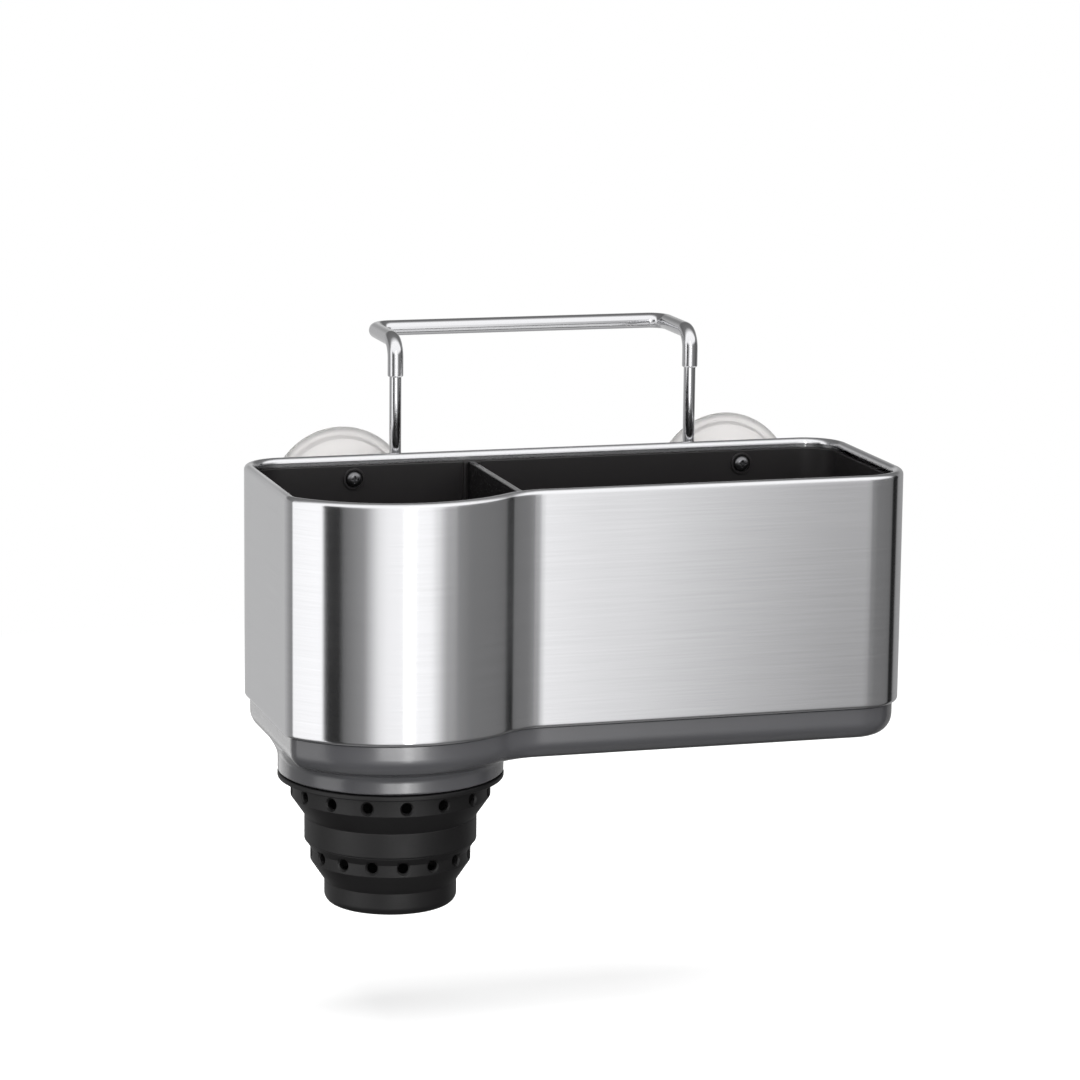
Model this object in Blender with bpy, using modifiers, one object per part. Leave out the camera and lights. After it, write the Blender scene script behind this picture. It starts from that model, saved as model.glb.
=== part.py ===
"""Sink organizer: steel sleeve, liner, tray, folding drain cup and wire hanger.

Metres, +Z up. The front faces -Y and the sink wall stands at y = 0, behind the organizer.
The origin is the middle of the two suction cups on that wall.
"""

import math

import bmesh
import bpy
from mathutils import Matrix, Vector

MM = 0.001

# Fits
GAP = 0.3 * MM

# Sleeve
SLEEVE_LENGTH = 216 * MM
SLEEVE_DEPTH = 82.5 * MM
SLEEVE_HEIGHT = 80 * MM
SHEET = 0.8 * MM
TOP_ROLL = 1.8 * MM
BOTTOM_ROLL = 1.5 * MM
BOTTOM_LIP = 0.7 * MM
RIGHT_CORNER = 18 * MM
BACK_CORNER = 14.6 * MM
EDGE_CORNER = 9 * MM
BULGE_RADIUS = 50 * MM
BULGE_REACH = 15.4 * MM
BULGE_FROM_LEFT = 41.4 * MM
BULGE_FILLET = 20 * MM

# Where the sleeve sits from the hanger
SLEEVE_BEHIND = 15.5 * MM
SLEEVE_OFFSET = 2.3 * MM
SLEEVE_ABOVE = 18 * MM

# Liner
LINER_WALL = 1.4 * MM
LINER_BELOW_RIM = 3.3 * MM
FLOOR_THICKNESS = 1.8 * MM
SLOT_WIDTH = 3.2 * MM
SLOT_PITCH = 14 * MM
SLOT_MARGIN = 13 * MM
DIVIDER_THICKNESS = 2.3 * MM
DIVIDER_FROM_LEFT = 82 * MM
DIVIDER_BELOW_RIM = 3.5 * MM
RIB_WIDTH = 1.6 * MM
RIB_REACH = 2.6 * MM

# Base tray
TRAY_INSET = 1.8 * MM
TRAY_WALL = 2 * MM
TRAY_DEPTH = 11.2 * MM
TRAY_EDGE = 7 * MM
UPSTAND = 3.6 * MM
UPSTAND_WALL = 1.4 * MM

# Cup and its boss
CUP_FROM_LEFT = 42.1 * MM
CUP_FROM_PANEL = 33.9 * MM
BOSS_RADIUS = 37.9 * MM
BOSS_WALL = 3 * MM
BOSS_HEIGHT = 7.3 * MM
BOSS_RIM = 1.2 * MM
BOSS_EDGE = 0.8 * MM
SILICONE = 1.6 * MM
FLANGE_OVERHANG = 0.1 * MM
FLANGE_THICKNESS = 1.8 * MM
LIP_REACH = 1.6 * MM
COLLAR_WALL = 2.6 * MM
UPPER_WALL_RADIUS = 33.6 * MM
UPPER_STRAIGHT = 6 * MM
UPPER_TAPER = 6.6 * MM
RING_RADIUS = 29 * MM
RING_HEIGHT = 8.8 * MM
RING_WALL = 2.2 * MM
LOWER_WALL_RADIUS = 27 * MM
LOWER_SHOULDER = 2.3 * MM
LOWER_STRAIGHT = 4 * MM
LOWER_TAPER = 7 * MM
BASE_RADIUS = 22.3 * MM
BASE_HEIGHT = 7.5 * MM
BASE_EDGE = 3 * MM
DRAIN_RADIUS = 1.8 * MM
DRAIN_COUNT = 16
DRAIN_PHASE = math.radians(-95.2)
DRAIN_CUT_INSIDE = 5 * MM
UPPER_DRAIN_DROP = 3.4 * MM

# Hanger
ROD_RADIUS = 2.05 * MM
ROD_LENGTH = 101 * MM
TUBE_RADIUS = 2.7 * MM
LEG_SPACING = 106.5 * MM
LEG_BEHIND = 11 * MM
HANGER_REACH = 31.5 * MM
HANGER_HEIGHT = 56.1 * MM
BEND_RADIUS = 6 * MM
TUBE_END_DROP = 12.6 * MM
SOCKET_DEPTH = 6 * MM
CAP_RADIUS = 3.3 * MM
CAP_HEIGHT = 8 * MM
CAP_GRIP = 6 * MM

# Bracket
PLATE_THICKNESS = 2.5 * MM
PLATE_LENGTH = 166 * MM
PLATE_TOP = 14.5 * MM
PLATE_BOTTOM = 16 * MM
PLATE_CORNER = 6 * MM
GUIDE_RADIUS = 3.9 * MM
CUP_SOCKET_RADIUS = 9 * MM
CUP_SOCKET_LIP = 1.5 * MM
CUP_SOCKET_BEHIND = 7.5 * MM

# Suction cups
SUCTION_SPACING = 140 * MM
SUCTION_RADIUS = 25 * MM
SUCTION_LIP = 1.2 * MM
SUCTION_SEAL = 3 * MM
SUCTION_SHOULDER = 8 * MM
SUCTION_HEAD = 6.6 * MM
SUCTION_NECK = 4.7 * MM
SUCTION_HOLLOW = 4.2 * MM
SUCTION_HOLLOW_RADIUS = 12.5 * MM
SUCTION_HOLLOW_THERE = 3.2 * MM

# Screws
SCREW_HEIGHT = 10 * MM
SCREW_HEAD = 2.75 * MM
SCREW_HEAD_HEIGHT = 1.8 * MM
SCREW_HEAD_SIDE = 0.8 * MM
SCREW_CROWN = 2 * MM
SCREW_CROWN_DROP = 0.15 * MM
SCREW_SHANK = 1.4 * MM
SCREW_REACH = 5.5 * MM
SCREW_BOSS = 3.5 * MM
SCREW_BOSS_FLOOR = 0.5 * MM
SCREW_END_ROOM = 1.2 * MM
RECESS_WIDTH = 0.7 * MM
RECESS_LENGTH = 2.8 * MM
RECESS_DEPTH = 1 * MM

# Fineness
ARC_STEP = math.radians(9)
BOSS_STEPS = 64
ROUND_STEPS = 48
SOCKET_STEPS = 28
SMALL_STEPS = 20
TINY_STEPS = 16
DRAIN_STEPS = 10
BEND_STEPS = 8
ROLL_STEPS = 6
CORNER_STEPS = 4
TUBE_QUARTER_STEPS = 3
MERGE_DISTANCE = 0.001 * MM

# Places worked out from the sizes above
LEFT_X = -SLEEVE_OFFSET - SLEEVE_LENGTH / 2
RIGHT_X = LEFT_X + SLEEVE_LENGTH
BACK_Y = -SLEEVE_BEHIND
PANEL_Y = BACK_Y - SLEEVE_DEPTH
TOP_Z = SLEEVE_ABOVE
BOTTOM_Z = TOP_Z - SLEEVE_HEIGHT
BULGE_X = LEFT_X + BULGE_FROM_LEFT
BULGE_Y = PANEL_Y - BULGE_REACH + BULGE_RADIUS
CUP_X = LEFT_X + CUP_FROM_LEFT
CUP_Y = PANEL_Y + CUP_FROM_PANEL

LINER_INSET = BOTTOM_ROLL + BOTTOM_LIP + GAP
LINER_INNER = LINER_INSET + LINER_WALL
LINER_TOP = TOP_Z - LINER_BELOW_RIM
TRAY_TOP = BOTTOM_Z - GAP
TRAY_BOTTOM = TRAY_TOP - TRAY_DEPTH
LINER_BOTTOM = TRAY_TOP + GAP
UPSTAND_TOP = TRAY_TOP + UPSTAND
UPSTAND_INSET = LINER_INNER + GAP
FLOOR_BOTTOM = UPSTAND_TOP + GAP
FLOOR_TOP = FLOOR_BOTTOM + FLOOR_THICKNESS
DIVIDER_X = LEFT_X + DIVIDER_FROM_LEFT
DIVIDER_TOP = TOP_Z - DIVIDER_BELOW_RIM

TRAY_FLOOR = TRAY_BOTTOM + TRAY_WALL
BOSS_BOTTOM = TRAY_BOTTOM - BOSS_HEIGHT
BOSS_TOP = TRAY_FLOOR + BOSS_RIM
BOSS_BORE = BOSS_RADIUS - BOSS_WALL
COLLAR_RADIUS = BOSS_BORE - GAP
COLLAR_INNER = COLLAR_RADIUS - COLLAR_WALL
FLANGE_TOP = BOSS_BOTTOM - GAP
FLANGE_BOTTOM = FLANGE_TOP - FLANGE_THICKNESS
UPPER_TOP = FLANGE_BOTTOM - GAP
UPPER_KNEE = UPPER_TOP - UPPER_STRAIGHT
UPPER_BOTTOM = UPPER_KNEE - UPPER_TAPER
RING_TOP = UPPER_BOTTOM - GAP
RING_BOTTOM = RING_TOP - RING_HEIGHT
LOWER_TOP = RING_BOTTOM - GAP
LOWER_SHOULDER_Z = LOWER_TOP - LOWER_SHOULDER
LOWER_KNEE = LOWER_SHOULDER_Z - LOWER_STRAIGHT
LOWER_BOTTOM = LOWER_KNEE - LOWER_TAPER
BASE_TOP = LOWER_BOTTOM - GAP
BASE_BOTTOM = BASE_TOP - BASE_HEIGHT
UPPER_DRAIN_Z = UPPER_TOP - UPPER_DRAIN_DROP
LOWER_DRAIN_Z = (LOWER_SHOULDER_Z + LOWER_KNEE) / 2 + DRAIN_RADIUS / 2

PLATE_FRONT = BACK_Y + GAP
PLATE_BACK = PLATE_FRONT + PLATE_THICKNESS
LEG_Y = -LEG_BEHIND
BAR_Y = LEG_Y + HANGER_REACH
TUBE_END = HANGER_HEIGHT - TUBE_END_DROP
ROD_TOP = TUBE_END + SOCKET_DEPTH - GAP
ROD_BOTTOM = ROD_TOP - ROD_LENGTH
CAP_BOTTOM = ROD_BOTTOM - CAP_HEIGHT + CAP_GRIP
SCREW_SEAT = BACK_Y - LINER_INNER - GAP

STEEL = (0.62, 0.62, 0.63, 1)
CHROME = (0.8, 0.8, 0.81, 1)
BLACK = (0.02, 0.02, 0.02, 1)
GREY = (0.12, 0.12, 0.125, 1)
CLEAR = (0.7, 0.7, 0.7, 1)


# Scene helpers

def clear_scene():
    for item in list(bpy.data.objects):
        bpy.data.objects.remove(item)


def new_collection(name):
    collection = bpy.data.collections.new(name)
    bpy.context.scene.collection.children.link(collection)
    return collection


def plain_material(name, color, roughness, metallic=0.0):
    material = bpy.data.materials.new(name)
    material.use_nodes = True
    shader = material.node_tree.nodes["Principled BSDF"]
    shader.inputs["Base Color"].default_value = color
    shader.inputs["Roughness"].default_value = roughness
    shader.inputs["Metallic"].default_value = metallic
    material.diffuse_color = color
    return material


def add_object(name, data, material=None, location=(0, 0, 0)):
    item = bpy.data.objects.new(name, data)
    item.location = location
    if material is None:
        cutters.objects.link(item)
        item.display_type = "WIRE"
        item.hide_render = True
    else:
        parts.objects.link(item)
        item.data.materials.append(material)
    return item


def mesh_object(name, bm, material=None, location=(0, 0, 0)):
    mesh = bpy.data.meshes.new(name)
    bmesh.ops.recalc_face_normals(bm, faces=bm.faces)
    bm.to_mesh(mesh)
    bm.free()
    return add_object(name, mesh, material, location)


def boolean(item, other, operation="DIFFERENCE"):
    modifier = item.modifiers.new(other.name, "BOOLEAN")
    modifier.object = other
    modifier.operation = operation
    modifier.solver = "EXACT"


def smooth(item, angle=35):
    item.data.shade_smooth()
    item.data.set_sharp_from_angle(angle=math.radians(angle))


# Shape helpers

def add_cylinder(bm, start, end, radius, steps=SMALL_STEPS):
    start = Vector(start)
    axis = Vector(end) - start
    turn = axis.to_track_quat("Z", "Y").to_matrix().to_4x4()
    place = Matrix.Translation(start + axis / 2) @ turn
    bmesh.ops.create_cone(
        bm, cap_ends=True, segments=steps, radius1=radius, radius2=radius,
        depth=axis.length, matrix=place,
    )


def add_box(bm, low, high):
    low = Vector(low)
    high = Vector(high)
    size = Matrix.Diagonal((high - low).to_4d())
    bmesh.ops.create_cube(bm, size=1, matrix=Matrix.Translation((low + high) / 2) @ size)


def cylinder_piece(name, start, end, radius, steps=SMALL_STEPS):
    bm = bmesh.new()
    add_cylinder(bm, start, end, radius, steps)
    return mesh_object(name, bm)


def box_piece(name, low, high):
    bm = bmesh.new()
    add_box(bm, low, high)
    return mesh_object(name, bm)


def turned(name, profile, material=None, location=(0, 0, 0), steps=ROUND_STEPS, closed=True):
    """Turn a profile of (radius, height) points, outer side top to bottom, round +Z."""
    mesh = bpy.data.meshes.new(name)
    points = [(radius, 0, height) for radius, height in profile]
    edges = [(i, i + 1) for i in range(len(points) - 1)]
    if closed:
        edges.append((len(points) - 1, 0))
    mesh.from_pydata(points, edges, [])
    item = add_object(name, mesh, material, location)
    screw = item.modifiers.new("Turn", "SCREW")
    screw.steps = steps
    screw.render_steps = steps
    screw.use_merge_vertices = True
    screw.merge_threshold = MERGE_DISTANCE
    screw.use_smooth_shade = True
    return item


def arc(centre, radius, start, end, step=ARC_STEP):
    """Points (x, y) with their outward directions along an arc, angles in radians."""
    count = max(2, math.ceil(abs(end - start) / step))
    points = []
    for i in range(count + 1):
        angle = start + (end - start) * i / count
        away = Vector((math.cos(angle), math.sin(angle)))
        points.append((Vector(centre) + away * radius, away))
    return points


def sleeve_outline():
    """Outer plan of the sleeve, from the left edge corner round the front to the back."""
    bulge = Vector((BULGE_X, BULGE_Y))
    edge_x = LEFT_X + EDGE_CORNER
    edge_reach = math.sqrt((BULGE_RADIUS - EDGE_CORNER) ** 2 - (BULGE_X - edge_x) ** 2)
    edge = Vector((edge_x, BULGE_Y - edge_reach))
    edge_turn = math.atan2(edge.y - bulge.y, edge.x - bulge.x)
    fillet_y = PANEL_Y - BULGE_FILLET
    span = BULGE_RADIUS + BULGE_FILLET
    fillet = Vector((BULGE_X + math.sqrt(span ** 2 - (BULGE_Y - fillet_y) ** 2), fillet_y))
    fillet_turn = math.atan2(fillet.y - bulge.y, fillet.x - bulge.x)

    outline = arc(edge, EDGE_CORNER, -math.pi, edge_turn)
    outline += arc(bulge, BULGE_RADIUS, edge_turn, fillet_turn)[1:]
    hollow = arc(fillet, BULGE_FILLET, fillet_turn + math.pi, math.pi / 2)
    outline += [(point, -away) for point, away in hollow][1:]
    front = (RIGHT_X - RIGHT_CORNER, PANEL_Y + RIGHT_CORNER)
    back_y = BACK_Y - BACK_CORNER
    outline += arc(front, RIGHT_CORNER, -math.pi / 2, 0)
    outline += arc((RIGHT_X - BACK_CORNER, back_y), BACK_CORNER, 0, math.pi / 2)
    outline += arc((LEFT_X + BACK_CORNER, back_y), BACK_CORNER, math.pi / 2, math.pi)
    return outline


def outline_ring(bm, inset, height):
    return [bm.verts.new((*(point - away * inset), height)) for point, away in outline]


def join_rings(bm, first, second):
    count = len(first)
    for i in range(count):
        following = (i + 1) % count
        bm.faces.new((first[i], first[following], second[following], second[i]))


def swept(name, section, material=None, closed=True):
    """Sweep (inset, height) points along the sleeve outline; an open section gets end caps."""
    bm = bmesh.new()
    rings = [outline_ring(bm, inset, height) for inset, height in section]
    for first, second in zip(rings, rings[1:]):
        join_rings(bm, first, second)
    if closed:
        join_rings(bm, rings[-1], rings[0])
    else:
        bm.faces.new(rings[0])
        bm.faces.new(rings[-1])
    return mesh_object(name, bm, material)


def quarter(centre, radius, start, end, steps=ROLL_STEPS):
    """Section points (inset, height) on an arc, angles in degrees from the inward side."""
    points = []
    for i in range(steps + 1):
        angle = math.radians(start + (end - start) * i / steps)
        points.append((centre[0] + radius * math.cos(angle), centre[1] + radius * math.sin(angle)))
    return points


def bent_path(corners, radius, steps=BEND_STEPS):
    """Follow corner points, with an arc of the given radius in place of each inner corner."""
    path = [Vector(corners[0])]
    for before, here, after in zip(corners, corners[1:], corners[2:]):
        here = Vector(here)
        into = (Vector(before) - here).normalized()
        out = (Vector(after) - here).normalized()
        half = into.angle(out) / 2
        reach = radius / math.tan(half)
        centre = here + (into + out).normalized() * radius / math.sin(half)
        start = here + into * reach - centre
        turn = start.rotation_difference(here + out * reach - centre)
        axis, angle = turn.to_axis_angle()
        for i in range(steps + 1):
            path.append(centre + Matrix.Rotation(angle * i / steps, 3, axis) @ start)
    path.append(Vector(corners[-1]))
    return path


def tube_mesh(name, path, radius, resolution=TUBE_QUARTER_STEPS):
    """A round bar along a path, as a closed mesh."""
    curve = bpy.data.curves.new(name, "CURVE")
    curve.dimensions = "3D"
    curve.bevel_depth = radius
    curve.bevel_resolution = resolution
    curve.use_fill_caps = True
    spline = curve.splines.new("POLY")
    spline.points.add(len(path) - 1)
    for point, place in zip(spline.points, path):
        point.co = (*place, 1)
    guide = bpy.data.objects.new(name, curve)
    bpy.context.scene.collection.objects.link(guide)
    graph = bpy.context.evaluated_depsgraph_get()
    mesh = bpy.data.meshes.new_from_object(guide.evaluated_get(graph))
    bpy.data.objects.remove(guide)
    bm = bmesh.new()
    bm.from_mesh(mesh)
    bmesh.ops.remove_doubles(bm, verts=bm.verts, dist=MERGE_DISTANCE)
    bm.to_mesh(mesh)
    bm.free()
    return mesh


# Sleeve and what it holds

def make_sleeve():
    inner_roll = TOP_ROLL - SHEET
    inner_foot = BOTTOM_ROLL - SHEET
    roll = (TOP_ROLL, TOP_Z - TOP_ROLL)
    foot = (BOTTOM_ROLL, BOTTOM_Z + BOTTOM_ROLL)
    lip = BOTTOM_ROLL + BOTTOM_LIP
    section = [(lip, BOTTOM_Z)]
    section += quarter(foot, BOTTOM_ROLL, 270, 180, CORNER_STEPS)
    section += quarter(roll, TOP_ROLL, 180, 0)
    section += quarter(roll, inner_roll, 0, 180, CORNER_STEPS)
    section += quarter(foot, inner_foot, 180, 270, CORNER_STEPS)
    section += [(lip, BOTTOM_Z + SHEET)]
    sleeve = swept("steel_sleeve", section, steel)
    for side, x in SIDES:
        low = (x * SUCTION_SPACING / 2, BACK_Y + GAP, SCREW_HEIGHT)
        high = (low[0], BACK_Y - LINER_INNER, SCREW_HEIGHT)
        hole = cylinder_piece("sleeve_hole_" + side, low, high, SCREW_SHANK + GAP, TINY_STEPS)
        boolean(sleeve, hole)
    smooth(sleeve)


def slot_cutter(floor_left):
    bm = bmesh.new()
    low_y = PANEL_Y + SLOT_MARGIN
    high_y = BACK_Y - SLOT_MARGIN
    room = RIGHT_X - floor_left - 2 * SLOT_MARGIN
    count = int(room / SLOT_PITCH) + 1
    first = (floor_left + RIGHT_X - (count - 1) * SLOT_PITCH) / 2
    for i in range(count):
        x = first + i * SLOT_PITCH
        low = (x - SLOT_WIDTH / 2, low_y, FLOOR_BOTTOM - GAP)
        add_box(bm, low, (x + SLOT_WIDTH / 2, high_y, FLOOR_TOP + GAP))
    return mesh_object("drain_slots", bm)


def make_liner():
    section = [
        (LINER_INSET, LINER_TOP), (LINER_INSET, LINER_BOTTOM),
        (LINER_INNER, LINER_BOTTOM), (LINER_INNER, LINER_TOP),
    ]
    liner = swept("liner", section, black)

    floor_left = DIVIDER_X - DIVIDER_THICKNESS / 2 - GAP - RIB_WIDTH
    middle = (LINER_INSET + LINER_INNER) / 2
    floor = swept("sponge_floor", [(middle, FLOOR_TOP), (middle, FLOOR_BOTTOM)], closed=False)
    low = (LEFT_X - GAP, PANEL_Y - BULGE_REACH - GAP, FLOOR_BOTTOM - GAP)
    brush_side = box_piece("brush_side", low, (floor_left, BACK_Y + GAP, FLOOR_TOP + GAP))
    boolean(floor, brush_side)
    boolean(floor, slot_cutter(floor_left))
    boolean(liner, floor, "UNION")

    rib_room = DIVIDER_THICKNESS / 2 + GAP
    front_y, back_y = divider_ends()
    for end, y, inward in (("front", front_y, 1), ("back", back_y, -1)):
        for side, x in SIDES:
            near = DIVIDER_X + x * rib_room
            far = DIVIDER_X + x * (rib_room + RIB_WIDTH)
            wall = y - inward * (GAP + LINER_WALL / 2)
            tip = y + inward * (RIB_REACH - GAP)
            low = (min(near, far), min(wall, tip), FLOOR_BOTTOM + GAP)
            high = (max(near, far), max(wall, tip), DIVIDER_TOP)
            boolean(liner, box_piece("rib_" + end + "_" + side, low, high), "UNION")

    inner_sheet = BACK_Y - SHEET
    for side, x in SIDES:
        place = x * SUCTION_SPACING / 2
        low = (place, BACK_Y - (LINER_INSET + LINER_INNER) / 2, SCREW_HEIGHT)
        high = (place, inner_sheet - GAP, SCREW_HEIGHT)
        boolean(liner, cylinder_piece("liner_boss_" + side, low, high, SCREW_BOSS), "UNION")
    for side, x in SIDES:
        place = x * SUCTION_SPACING / 2
        low = (place, BACK_Y - LINER_INNER - GAP, SCREW_HEIGHT)
        high = (place, inner_sheet + GAP, SCREW_HEIGHT)
        hole = cylinder_piece("liner_hole_" + side, low, high, SCREW_SHANK + GAP, TINY_STEPS)
        boolean(liner, hole)
    smooth(liner)


def divider_ends():
    """Where the divider meets the front and back walls of the liner, less the fit."""
    fillet_y = PANEL_Y - BULGE_FILLET
    reach = BULGE_FILLET + LINER_INNER
    span = BULGE_RADIUS + BULGE_FILLET
    fillet_x = BULGE_X + math.sqrt(span ** 2 - (BULGE_Y - fillet_y) ** 2)
    aside = max(fillet_x - DIVIDER_X - DIVIDER_THICKNESS / 2, 0)
    front = fillet_y + math.sqrt(reach ** 2 - aside ** 2)
    back = BACK_Y - LINER_INNER
    return front + GAP, back - GAP


def make_divider():
    front_y, back_y = divider_ends()
    half = DIVIDER_THICKNESS / 2
    bm = bmesh.new()
    low = (DIVIDER_X - half, front_y, FLOOR_TOP + GAP)
    add_box(bm, low, (DIVIDER_X + half, back_y, DIVIDER_TOP))
    mesh_object("divider", bm, black)


def make_tray():
    outer_edge = (TRAY_INSET + TRAY_EDGE, TRAY_BOTTOM + TRAY_EDGE)
    inner_edge = TRAY_EDGE - TRAY_WALL
    upstand_inner = UPSTAND_INSET + UPSTAND_WALL
    section = quarter(outer_edge, inner_edge, 270, 180, CORNER_STEPS)
    section += [(TRAY_INSET + TRAY_WALL, TRAY_TOP - TRAY_WALL)]
    section += [(upstand_inner, TRAY_TOP - TRAY_WALL), (upstand_inner, UPSTAND_TOP)]
    section += [(UPSTAND_INSET, UPSTAND_TOP), (UPSTAND_INSET, TRAY_TOP), (TRAY_INSET, TRAY_TOP)]
    section += quarter(outer_edge, TRAY_EDGE, 180, 270)
    tray = swept("base_tray", section, grey, closed=False)

    boss_profile = [
        (0, BOSS_TOP), (BOSS_RADIUS, BOSS_TOP),
        (BOSS_RADIUS, BOSS_BOTTOM + BOSS_EDGE), (BOSS_RADIUS - BOSS_EDGE, BOSS_BOTTOM),
        (0, BOSS_BOTTOM),
    ]
    centre = (CUP_X, CUP_Y, 0)
    boss = turned("tray_boss", boss_profile, location=centre, steps=BOSS_STEPS, closed=False)
    boolean(tray, boss, "UNION")
    low = (CUP_X, CUP_Y, BOSS_BOTTOM - GAP)
    high = (CUP_X, CUP_Y, BOSS_TOP + GAP)
    boolean(tray, cylinder_piece("cup_bore", low, high, BOSS_BORE, BOSS_STEPS))
    smooth(tray)


# Folding cup

def drain_cutter(name, radius):
    bm = bmesh.new()
    for i in range(DRAIN_COUNT):
        angle = DRAIN_PHASE + 2 * math.pi * i / DRAIN_COUNT
        away = Vector((math.cos(angle), math.sin(angle), 0))
        start = away * (radius - DRAIN_CUT_INSIDE)
        add_cylinder(bm, start, away * (radius + SILICONE), DRAIN_RADIUS, DRAIN_STEPS)
    return mesh_object(name, bm)


def shifted_down(profile, height):
    return [(radius, z - height) for radius, z in profile]


def make_cup():
    centre = (CUP_X, CUP_Y, 0)
    flange = BOSS_RADIUS + FLANGE_OVERHANG
    lip_bottom = BOSS_TOP + GAP
    lip_top = lip_bottom + SILICONE
    collar = [
        (COLLAR_INNER, lip_top), (COLLAR_RADIUS + LIP_REACH, lip_top),
        (COLLAR_RADIUS + LIP_REACH, lip_bottom), (COLLAR_RADIUS, lip_bottom),
        (COLLAR_RADIUS, FLANGE_TOP), (flange, FLANGE_TOP), (flange, FLANGE_BOTTOM),
        (COLLAR_INNER, FLANGE_BOTTOM),
    ]
    turned("cup_collar", collar, black_silicone, centre)

    upper = [
        (UPPER_WALL_RADIUS, UPPER_TOP), (UPPER_WALL_RADIUS, UPPER_KNEE),
        (RING_RADIUS, UPPER_BOTTOM), (RING_RADIUS - SILICONE, UPPER_BOTTOM),
        (UPPER_WALL_RADIUS - SILICONE, UPPER_KNEE), (UPPER_WALL_RADIUS - SILICONE, UPPER_TOP),
    ]
    wall = turned("cup_upper_bellows", upper, black_silicone, centre)
    holes = drain_cutter("upper_drains", UPPER_WALL_RADIUS)
    holes.location = (CUP_X, CUP_Y, UPPER_DRAIN_Z)
    boolean(wall, holes)

    edge = SILICONE / 2
    ring_inner = RING_RADIUS - RING_WALL
    ring = [
        (RING_RADIUS - edge, RING_TOP), (RING_RADIUS, RING_TOP - edge),
        (RING_RADIUS, RING_BOTTOM + edge), (RING_RADIUS - edge, RING_BOTTOM),
        (ring_inner, RING_BOTTOM), (ring_inner, RING_TOP),
    ]
    ring = shifted_down(ring, RING_TOP)
    turned("cup_middle_ring", ring, black_silicone, (CUP_X, CUP_Y, RING_TOP))

    shoulder = RING_RADIUS - edge
    lower = [
        (shoulder, LOWER_TOP), (LOWER_WALL_RADIUS, LOWER_SHOULDER_Z),
        (LOWER_WALL_RADIUS, LOWER_KNEE), (BASE_RADIUS, LOWER_BOTTOM),
        (BASE_RADIUS - SILICONE, LOWER_BOTTOM), (LOWER_WALL_RADIUS - SILICONE, LOWER_KNEE),
        (LOWER_WALL_RADIUS - SILICONE, LOWER_SHOULDER_Z), (shoulder - SILICONE, LOWER_TOP),
    ]
    wall = turned("cup_lower_bellows", lower, black_silicone, centre)
    holes = drain_cutter("lower_drains", LOWER_WALL_RADIUS)
    holes.location = (CUP_X, CUP_Y, LOWER_DRAIN_Z)
    boolean(wall, holes)

    inner = BASE_RADIUS - RING_WALL
    round_edge = (BASE_RADIUS - BASE_EDGE, BASE_BOTTOM + BASE_EDGE)
    base = [(BASE_RADIUS, BASE_TOP)]
    for i in range(ROLL_STEPS + 1):
        angle = math.pi / 2 * i / ROLL_STEPS
        away = BASE_EDGE * math.cos(angle)
        base.append((round_edge[0] + away, round_edge[1] - BASE_EDGE * math.sin(angle)))
    base.append((0, BASE_BOTTOM))
    hollow = [(0, BASE_BOTTOM + RING_WALL), (inner, BASE_BOTTOM + RING_WALL), (inner, BASE_TOP)]
    base = shifted_down(hollow + base, BASE_TOP)
    turned("cup_base", base, black_silicone, (CUP_X, CUP_Y, BASE_TOP), closed=False)


# Hanger, its bracket and what holds them

def make_hanger():
    half = LEG_SPACING / 2
    corners = [
        (-half, LEG_Y, TUBE_END), (-half, LEG_Y, HANGER_HEIGHT), (-half, BAR_Y, HANGER_HEIGHT),
        (half, BAR_Y, HANGER_HEIGHT), (half, LEG_Y, HANGER_HEIGHT), (half, LEG_Y, TUBE_END),
    ]
    path = bent_path(corners, BEND_RADIUS)
    handle = add_object("hanger_handle", tube_mesh("hanger_handle", path, TUBE_RADIUS), chrome)
    for side, x in SIDES:
        low = (x * half, LEG_Y, TUBE_END - GAP)
        high = (x * half, LEG_Y, TUBE_END + SOCKET_DEPTH)
        boolean(handle, cylinder_piece("rod_socket_" + side, low, high, ROD_RADIUS + GAP, TINY_STEPS))
    smooth(handle)

    for side, x in SIDES:
        bm = bmesh.new()
        add_cylinder(bm, (0, 0, ROD_TOP - ROD_LENGTH), (0, 0, ROD_TOP), ROD_RADIUS)
        rod = mesh_object("hanger_rod_" + side, bm, chrome, (x * half, LEG_Y, 0))
        smooth(rod)
        grip = ROD_RADIUS + GAP
        grip_z = ROD_BOTTOM - GAP
        cap_top = ROD_BOTTOM + CAP_GRIP
        cap = [
            (0, grip_z), (grip, grip_z), (grip, cap_top), (CAP_RADIUS, cap_top),
            (CAP_RADIUS, CAP_BOTTOM), (0, CAP_BOTTOM),
        ]
        place = (x * half, LEG_Y, 0)
        turned("rod_cap_" + side, cap, black, place, SMALL_STEPS, closed=False)


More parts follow.
